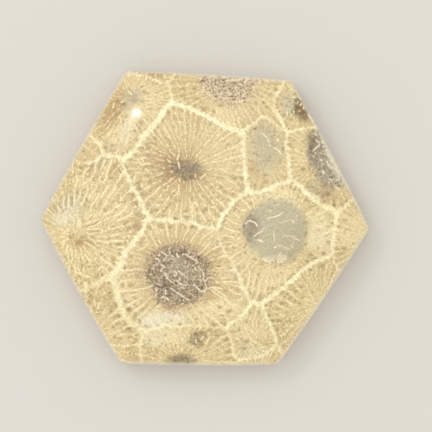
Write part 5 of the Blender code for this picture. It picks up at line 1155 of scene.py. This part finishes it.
# How often each pattern comes round in a millimetre. Slow clouds are about 3 mm across, the bends of the
# septa 1.4 and 0.4 mm, blotches 0.6 mm, curled scraps 0.5 mm, spots 0.3 mm and specks 0.2 mm.
CLOUDS = 0.35
LONG_BENDS = 0.7
SHORT_BENDS = 2.6
BLOTCHES = 1.7
SCRAPS = 1.9
SPOTS = 3.6
SPECKS = 5.5
# Crystal grain is far finer than a picture of the stone shows, so it is drawn about 0.15 mm across.
GRAIN = 6.5
# Beads along a septum per millimetre, and its side spurs in radians per millimetre, about three spurs.
BEADS = 3.2
SPURS = 21
# How far the long and the short bends push a septum aside.
LONG_SWAY, SHORT_SWAY = 0.6, 0.24
# Calcite bends light a little more than glass does, and uncoated board a little less.
CALCITE_IOR = 1.57
BOARD_IOR = 1.45
# Roughness from the best polished spots to the dullest, and of the board.
POLISH = (0.1, 0.16)
MATT = 0.85
FULL_TURN = 2 * math.pi

tree = None


def add(kind, inputs=(), out=0, **settings):
    """Adds a node to the tree, with its settings and its inputs linked or set, and returns one output."""
    node = tree.nodes.new(kind)
    for name, value in settings.items():
        setattr(node, name, value)
    for key, value in inputs.items() if isinstance(inputs, dict) else enumerate(inputs):
        if isinstance(value, bpy.types.NodeSocket):
            tree.links.new(value, node.inputs[key])
        else:
            node.inputs[key].default_value = value
    return node.outputs[out] if node.outputs else None


def new_material(name):
    """A material with an empty node tree, which becomes the tree that add() works on."""
    global tree
    material = bpy.data.materials.new(name)
    material.use_nodes = True
    tree = material.node_tree
    tree.nodes.clear()
    return material


def fossil_finish():
    """Fossil coral: a colony whose skeleton and mud filling both turned to calcite, sawn, domed and polished.
    The skeleton is the paler, creamier stone, the filling is tan, and the polish gives a clear soft shine."""
    material = new_material("fossil_coral_polished")
    place = add("ShaderNodeTexCoord", out="Object")
    mm = add(VECTOR, (place, (1 / MM, 1 / MM, 1 / MM)), operation="MULTIPLY")
    axis = add(ATTRIBUTE, out="Vector", attribute_name="axis_offset")
    read = {}
    for name in ("septa_habit", "cup_wall", "core_kind", "stain_kind", "ground_kind", "edge_kind", "seam_gap",
                 "drawn_septa", "chamber_kind"):
        vector = add(ATTRIBUTE, out="Vector", attribute_name=name)
        read[name] = add(SPLIT, (vector,)).node.outputs
    septa_count, half_width, septum_light = read["septa_habit"]
    wall_gap, wall_light, cup = read["cup_wall"]
    smooth, mottled, pink = read["core_kind"]
    brown, grey, haze_and_sheen = read["stain_kind"]
    deep, pale, peppered = read["ground_kind"]
    dark, soften, rim_gap = read["edge_kind"]
    seam_gap, near_drawn, _ = read["seam_gap"]
    drawn_gap, drawn_light, chamber_dark = read["drawn_septa"]
    chamber_olive, chamber_brown, chamber_grey = read["chamber_kind"]

    spots = add(NOISE, {"Vector": mm, "Scale": SPOTS, "Detail": 2.0})
    specks = add(NOISE, {"Vector": mm, "Scale": SPECKS, "Detail": 1.0})
    blotch = add(NOISE, {"Vector": mm, "Scale": BLOTCHES, "Detail": 2.0})
    cloud = add(NOISE, {"Vector": mm, "Scale": CLOUDS, "Detail": 3.0})

    # The septa wander a little on their way out.
    slow = add(NOISE, {"Vector": mm, "Scale": LONG_BENDS, "Detail": 2.0}, "Color")
    quick = add(NOISE, {"Vector": mm, "Scale": SHORT_BENDS, "Detail": 1.0}, "Color")
    slow = add(VECTOR, (slow, (0.5, 0.5, 0.5)), operation="SUBTRACT")
    quick = add(VECTOR, (quick, (0.5, 0.5, 0.5)), operation="SUBTRACT")
    bent = add(VECTOR, (slow, (LONG_SWAY, LONG_SWAY, 0), axis), operation="MULTIPLY_ADD")
    bent = add(VECTOR, (quick, (SHORT_SWAY, SHORT_SWAY, 0), bent), operation="MULTIPLY_ADD")
    x, y, depth = add(SPLIT, (bent,)).node.outputs
    radius = add(VECTOR, (add(JOIN, (x, y, 0)),), "Value", operation="LENGTH")
    angle = add(MATH, (y, x), operation="ARCTAN2")
    turns = add(MATH, (angle, add(MATH, (septa_count, FULL_TURN), operation="DIVIDE")), operation="MULTIPLY")
    spacing = add(MATH, (radius, FULL_TURN), operation="MULTIPLY")
    spacing = add(MATH, (spacing, septa_count), operation="DIVIDE")

    # One line per septum, each a little off its even place, with its own strength and beads.
    index = add(MATH, (turns,), operation="ROUND")
    own = add(WHITE, (add(JOIN, (index, cup, 0)),), "Color")
    shift, strength, reach = add(SPLIT, (own,)).node.outputs
    shift = add(RANGE, (shift, 0, 1, -0.2, 0.2))
    beside = add(MATH, (turns, index), operation="SUBTRACT")
    beside = add(MATH, (beside, shift), operation="SUBTRACT")
    off_line = add(MATH, (beside,), operation="ABSOLUTE")
    septum_gap = add(MATH, (off_line, spacing), operation="MULTIPLY")
    # Odd steps keep a septum's beads and spurs from matching those of the next.
    bead_at = add(JOIN, (
        add(MATH, (radius, BEADS), operation="MULTIPLY"),
        add(MATH, (index, 3.71), operation="MULTIPLY"),
        add(MATH, (depth, 0.6, cup), operation="MULTIPLY_ADD"),
    ))
    bead = add(NOISE, {"Vector": bead_at, "Scale": 1, "Detail": 1.0})
    bead = add(RANGE, (bead, 0.34, 0.58, 0.15, 1.2), interpolation_type="SMOOTHSTEP")
    spur = add(MATH, (index, 2.4), operation="MULTIPLY")
    spur = add(MATH, (radius, SPURS, spur), operation="MULTIPLY_ADD")
    spur = add(MATH, (spur,), operation="SINE")
    spur = add(RANGE, (spur, -1, 1, 0.75, 1.4))
    thick = add(MATH, (half_width, spur), operation="MULTIPLY")
    inner = add(MATH, (thick, 0.1), operation="MULTIPLY")
    outer = add(MATH, (thick, 1.45), operation="MULTIPLY")
    line = add(RANGE, (septum_gap, inner, outer, 1, 0), interpolation_type="SMOOTHSTEP")
    # Every other septum starts further out.
    minor = add(MATH, (index, 1), operation="PINGPONG")
    minor_full = add(RANGE, (reach, 0, 1, 1.8, 4))
    minor = add(MATH, (minor, add(RANGE, (radius, 0.9, minor_full, 1, 0.45))), operation="MULTIPLY")
    minor = add(MATH, (1, minor), operation="SUBTRACT")
    bead = add(MATH, (bead, add(RANGE, (strength, 0, 1, 0.5, 1.15))), operation="MULTIPLY")
    for share in (minor, bead, septum_light):
        line = add(MATH, (line, share), operation="MULTIPLY")

    # Thin slanting plates split each space between two septa into small chambers.
    side = add(MATH, (beside, 0), operation="GREATER_THAN")
    room = add(MATH, (index, side), operation="ADD")
    own = add(WHITE, (add(JOIN, (room, cup, 5)),), "Color")
    room_phase, room_size, room_tone = add(SPLIT, (own,)).node.outputs
    plate_step = add(RANGE, (room_size, 0, 1, 0.36, 0.8))
    bowed = add(MATH, (beside, beside), operation="MULTIPLY")
    bowed = add(MATH, (bowed, 0.9), operation="MULTIPLY")
    slant = add(RANGE, (room_tone, 0, 1, -0.5, 0.5))
    slant = add(MATH, (beside, slant, bowed), operation="MULTIPLY_ADD")
    ripple = add(MATH, (blotch, 1.1, slant), operation="MULTIPLY_ADD")
    outway = add(MATH, (depth, 0.7, radius), operation="MULTIPLY_ADD")
    outway = add(MATH, (outway, ripple), operation="SUBTRACT")
    plate_at = add(MATH, (outway, plate_step), operation="DIVIDE")
    plate_at = add(MATH, (plate_at, add(MATH, (room_phase, 9), operation="MULTIPLY")), operation="ADD")
    plate_index = add(MATH, (plate_at,), operation="ROUND")
    plate_gap = add(MATH, (plate_at, plate_index), operation="SUBTRACT")
    plate_gap = add(MATH, (plate_gap,), operation="ABSOLUTE")
    plate_gap = add(MATH, (plate_gap, plate_step), operation="MULTIPLY")
    plate_own = add(WHITE, (add(JOIN, (plate_index, room, cup)),), "Value")
    plate = add(RANGE, (plate_gap, 0.01, 0.1, 1, 0), interpolation_type="SMOOTHSTEP")
    for share in (
        add(RANGE, (plate_own, 0.3, 0.8, 0, 0.8)),
        add(RANGE, (spacing, 0.15, 0.45, 0, 1)),
        septum_light,
    ):
        plate = add(MATH, (plate, share), operation="MULTIPLY")
    other_cup = add(MATH, (cup, 31), operation="ADD")
    chamber_at = add(JOIN, (add(MATH, (plate_at,), operation="FLOOR"), room, other_cup))
    own = add(WHITE, (chamber_at,), "Color")
    chamber_tone, chamber_hue, _ = add(SPLIT, (own,)).node.outputs

    # The filling: tan mudstone, each chamber its own shade and darkest at its middle, with slow clouds.
    near_line = add(MATH, (septum_gap, add(MATH, (plate_gap, 0.04), operation="ADD")), operation="MINIMUM")
    shade = add(RANGE, (near_line, 0.05, 0.19, 0, 1), interpolation_type="SMOOTHSTEP")
    for share in (
        add(RANGE, (chamber_tone, 0, 1, 0.25, 1)),
        add(RANGE, (wall_gap, 0.1, 2.2, 1.1, 0.75)),
        add(RANGE, (spots, 0.35, 0.65, 0.5, 1.1)),
        add(RANGE, (specks, 0.35, 0.65, 0.4, 1.2)),
        add(RANGE, (deep, 0, 1, 0.9, 1.4)),
        add(RANGE, (near_drawn, 0, 1, 1, 0.25)),
    ):
        shade = add(MATH, (shade, share), operation="MULTIPLY")
    chamber = add(MIX, {0: chamber_hue, 6: CHAMBER_OLIVE, 7: CHAMBER_TAN}, 2, data_type="RGBA")

    # The skeleton over the filling.
    lines = add(MATH, (line, plate), operation="MAXIMUM")
    kept = add(MATH, (soften, 0.85), operation="MULTIPLY")
    kept = add(MATH, (1, kept), operation="SUBTRACT")
    kept = add(MATH, (kept, add(RANGE, (near_drawn, 0, 1, 1, 0.2))), operation="MULTIPLY")
    lines = add(MATH, (lines, kept), operation="MULTIPLY")

    # Dark mottled cores: brown mud with pale curled scraps of skeleton.
    curl_place = add(VECTOR, (quick, (0.7, 0.7, 0.7), mm), operation="MULTIPLY_ADD")
    curl = add(NOISE, {"Vector": curl_place, "Scale": SCRAPS, "Detail": 2.0})
    curl = add(MATH, (curl, 0.5), operation="SUBTRACT")
    curl = add(MATH, (curl,), operation="ABSOLUTE")
    scrap = add(RANGE, (curl, 0, 0.055, 0.85, 0), interpolation_type="SMOOTHSTEP")
    scrap = add(MATH, (scrap, add(RANGE, (blotch, 0.38, 0.52, 0.3, 1))), operation="MULTIPLY")
    muddy = add(RANGE, (specks, 0.41, 0.57, 0, 1))
    mud = add(MIX, {0: muddy, 6: CORE_DARK, 7: CORE_MID}, 2, data_type="RGBA")
    mud = add(MIX, {0: scrap, 6: mud, 7: CORE_PALE}, 2, data_type="RGBA")

    # Pink cores, pale with dark specks.
    rosy = add(RANGE, (specks, 0.38, 0.62, 0, 1))
    rosy = add(MIX, {0: rosy, 6: CORE_PINK, 7: CORE_PALE}, 2, data_type="RGBA")
    rosy_speck = add(RANGE, (specks, 0.32, 0.44, 0.75, 0))
    rosy = add(MIX, {0: rosy_speck, 6: rosy, 7: CORE_DARK}, 2, data_type="RGBA")

    # Peppered cores, grey with dark clots and white flecks.
    pepper = add(RANGE, (spots, 0.37, 0.5, 0.9, 0))
    pepper = add(MIX, {0: pepper, 6: PEPPER, 7: PEPPER_DARK}, 2, data_type="RGBA")
    white_fleck = add(RANGE, (specks, 0.55, 0.66, 0, 0.7))
    pepper = add(MIX, {0: white_fleck, 6: pepper, 7: MILKY_WHITE_AND_SHEEN}, 2, data_type="RGBA")

    # Those three kinds of core have ragged edges.
    core_covers = []
    for share, noise, ragged, start, full, most in (
        (mottled, spots, 0.4, 0.05, 1, 0.92),
        (pink, spots, 0.3, 0.05, 0.95, 0.85),
        (peppered, blotch, 0.3, 0.2, 0.8, 0.9),
    ):
        cover = add(MATH, (share, add(RANGE, (noise, 0.3, 0.7, -ragged, ragged))), operation="ADD")
        core_covers.append(add(RANGE, (cover, start, full, 0, most), interpolation_type="SMOOTHSTEP"))
    mud_cover, rosy_cover, pepper_cover = core_covers

    # Smooth grey cores, where clear calcite filled the cup's middle, with faint clots.
    disc = add(RANGE, (spots, 0.35, 0.65, 0, 0.5))
    disc = add(MIX, {0: disc, 6: DISC, 7: GREY}, 2, data_type="RGBA")
    vein = add(RANGE, (curl, 0.004, 0.02, 0.35, 0))
    vein = add(MATH, (vein, add(RANGE, (cloud, 0.4, 0.6, 0, 1))), operation="MULTIPLY")
    disc = add(MIX, {0: vein, 6: disc, 7: VEIN}, 2, data_type="RGBA")

    # Stains, a little uneven. The haze is partly milky calcite and partly painted sheen.
    brown_cover = add(MATH, (brown, add(RANGE, (blotch, 0.3, 0.7, 0.6, 1))), operation="MULTIPLY")
    grey_cover = add(MATH, (grey, add(RANGE, (spots, 0.3, 0.7, 0.6, 1))), operation="MULTIPLY")
    dark_cover = add(MATH, (dark, add(RANGE, (spots, 0.35, 0.65, 0.6, 1.1))), operation="MULTIPLY")
    haze_and_sheen_cover = add(MATH, (haze_and_sheen, add(RANGE, (spots, 0.35, 0.65, 0.8, 1))), operation="MULTIPLY")
    haze_and_sheen_cover = add(MATH, (haze_and_sheen_cover, add(RANGE, (specks, 0.35, 0.65, 0.85, 1.05))), operation="MULTIPLY")

    # The boldest septa, each in its own place.
    drawn = add(RANGE, (drawn_gap, -0.03, 0.065, 1, 0), interpolation_type="SMOOTHSTEP")
    drawn = add(MATH, (drawn, add(RANGE, (spots, 0.3, 0.6, 0.6, 1.05))), operation="MULTIPLY")
    drawn = add(MATH, (drawn, drawn_light), operation="MULTIPLY", use_clamp=True)
    drawn_colour = add(MIX, {0: soften, 6: SEPTUM, 7: CORE_PALE}, 2, data_type="RGBA")

    # Walls between the cups swell where a septum joins them, which rounds the chamber ends.
    nearness = add(RANGE, (off_line, 0, 0.5, 1, 0))
    swell = add(MATH, (nearness, add(RANGE, (spacing, 0.2, 0.6, 0.03, 0.13))), operation="MULTIPLY")
    for noise, amount in ((spots, 0.38), (specks, 0.2)):
        centred = add(MATH, (noise, 0.5), operation="SUBTRACT")
        swell = add(MATH, (centred, amount, swell), operation="MULTIPLY_ADD")
    wall = add(MATH, (wall_gap, swell), operation="SUBTRACT")
    wall = add(RANGE, (wall, -0.15, 0.11, 1, 0), interpolation_type="SMOOTHSTEP")
    wall_strength = add(MATH, (wall_light, add(RANGE, (blotch, 0.35, 0.6, 0.55, 1.08))), operation="MULTIPLY")
    wall = add(MATH, (wall, wall_strength), operation="MULTIPLY", use_clamp=True)

    # Each layer lies over the ones before it, from the tan filling up to the painted sheen along the rim.
    layers = [
        (shade, chamber),
        (add(RANGE, (cloud, 0.4, 0.65, 0, 0.18)), BROWN),
        (brown_cover, BROWN),
        (add(MATH, (pale, 0.6), operation="MULTIPLY"), SEPTUM),
        (lines, SEPTUM),
        (mud_cover, mud),
        (rosy_cover, rosy),
        (pepper_cover, pepper),
        (smooth, disc),
        (grey_cover, GREY),
        (dark_cover, DARK),
        # Painted sheen in part: the haze layer includes the glint's soft tail of reflected light.
        (haze_and_sheen_cover, MILKY_WHITE_AND_SHEEN),
    ]
    uneven = add(RANGE, (spots, 0.3, 0.65, 0.55, 1.05))
    for share, chamber_colour, most in (
        (chamber_olive, CHAMBER_OLIVE, 0.68),
        (chamber_brown, CHAMBER_BROWN, 0.68),
        (chamber_grey, CHAMBER_GREY, 0.62),
        (chamber_dark, CHAMBER_DARK, 0.68),
    ):
        cover = add(MATH, (uneven, most), operation="MULTIPLY")
        layers.append((add(MATH, (share, cover), operation="MULTIPLY"), chamber_colour))
    layers += [
        (drawn, drawn_colour),
        (wall, WALL),
        (add(RANGE, (seam_gap, -0.05, 0.08, 0.8, 0), interpolation_type="SMOOTHSTEP"), SEAM),
        # Painted highlight: colour paled within 0.45 mm of the outline and by four-fifths over the sides.
        (add(RANGE, (rim_gap, 0, 0.45, 0.8, 0), interpolation_type="SMOOTHSTEP"), PAINTED_RIM_SHEEN),
    ]
    colour = TAN
    for cover, layer in layers:
        colour = add(MIX, {0: cover, 6: colour, 7: layer}, 2, data_type="RGBA")

    grain = add(NOISE, {"Vector": mm, "Scale": GRAIN, "Detail": 1.0})
    grain = add(RANGE, (grain, 0.3, 0.7, 0.86, 1.14))
    colour = add(MIX, {0: 1, 6: colour, 7: grain}, 2, data_type="RGBA", blend_type="MULTIPLY")

    surface = add("ShaderNodeBsdfPrincipled", {
        "Base Color": colour,
        "Roughness": add(RANGE, (spots, 0.3, 0.7, *POLISH)),
        "IOR": CALCITE_IOR,
    })
    add("ShaderNodeOutputMaterial", (surface,))
    return material


def floor_finish():
    """Plain pale paper: uncoated matt board, even and without shine."""
    material = new_material("pale_board")
    surface = add("ShaderNodeBsdfPrincipled", {"Base Color": BOARD, "Roughness": MATT, "IOR": BOARD_IOR})
    add("ShaderNodeOutputMaterial", (surface,))
    return material


# ---- making ----
FLOOR_HALF_WIDTH = 300
ROOM = linear("#FFFCF6")
ROOM_STRENGTH = 0.86
# White lamps: place, the point each faces, width, height and watts. The two small ones make the glint.
LAMPS = {
    "window_light": ((-200, 160, 800), (0, 0, 4), 900, 900, 1.8),
    "near_lamp": ((-122.6, 115.7, 250), (-6, 9.6, 4.5), 12, 7, 0.02),
    "far_lamp": ((-103.5, 113.3, 250), (-6, 9.6, 4.5), 10, 9, 0.02),
}
# The camera looks straight down with a long lens, this far above the height where the cups show true.
CAMERA_PLACE = (1.023, 0.182)
CAMERA_RISE = 218.2
LENS = 200
SENSOR = 36
# It shows nothing nearer or further than these.
CLOSEST, FURTHEST = 10, 5000

points, levels, faces, uvs = build_stone()
mesh = bpy.data.meshes.new("polished_coral")
mesh.from_pydata((points * MM).tolist(), [], faces.tolist())
for name, values in stone_pattern(points, levels).items():
    layer = mesh.attributes.new(name, "FLOAT_VECTOR", "POINT")
    layer.data.foreach_set("vector", values.astype(np.float32).ravel())
uv_map = mesh.uv_layers.new(name="OFBake")
uv_map.data.foreach_set("uv", uvs.astype(np.float32).ravel())
mesh.polygons.foreach_set("use_smooth", np.ones(len(faces), bool))
mesh.update()
mesh.materials.append(fossil_finish())
stone = bpy.data.objects.new("polished_coral", mesh)
bpy.context.scene.collection.objects.link(stone)
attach(stone, "root")
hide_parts("coral_stone")

floor_mesh = bpy.data.meshes.new("floor_board")
half = FLOOR_HALF_WIDTH * MM
floor_corners = [(-half, -half, 0), (half, -half, 0), (half, half, 0), (-half, half, 0)]
floor_mesh.from_pydata(floor_corners, [], [(0, 1, 2, 3)])
floor_mesh.materials.append(floor_finish())
floor = bpy.data.objects.new("floor_board", floor_mesh)
bpy.context.scene.collection.objects.link(floor)

world = bpy.data.worlds.new("soft_room")
world.use_nodes = True
world.node_tree.nodes["Background"].inputs["Color"].default_value = ROOM
world.node_tree.nodes["Background"].inputs["Strength"].default_value = ROOM_STRENGTH
bpy.context.scene.world = world


def facing(toward):
    """The turn that makes a lamp, which shines along its own -Z, face along a direction."""
    flat = math.hypot(toward[0], toward[1])
    return (math.atan2(flat, -toward[2]), 0, math.atan2(-toward[0], toward[1]) if flat else 0)


for name, (place, aim, width, height, watts) in LAMPS.items():
    light = bpy.data.lights.new(name, "AREA")
    light.shape = "RECTANGLE"
    light.size = width * MM
    light.size_y = height * MM
    light.energy = watts
    lamp = bpy.data.objects.new(name, light)
    lamp.location = np.array(place) * MM
    lamp.rotation_euler = facing(np.subtract(aim, place))
    bpy.context.scene.collection.objects.link(lamp)

camera_data = bpy.data.cameras.new("camera")
camera_data.lens = LENS
camera_data.sensor_width = SENSOR
camera_data.clip_start = CLOSEST * MM
camera_data.clip_end = FURTHEST * MM
camera = bpy.data.objects.new("camera", camera_data)
bpy.context.scene.collection.objects.link(camera)
camera.location = np.array((*CAMERA_PLACE, FAN_HEIGHT + CAMERA_RISE)) * MM
bpy.context.scene.camera = camera
bpy.context.scene.view_settings.view_transform = "Standard"
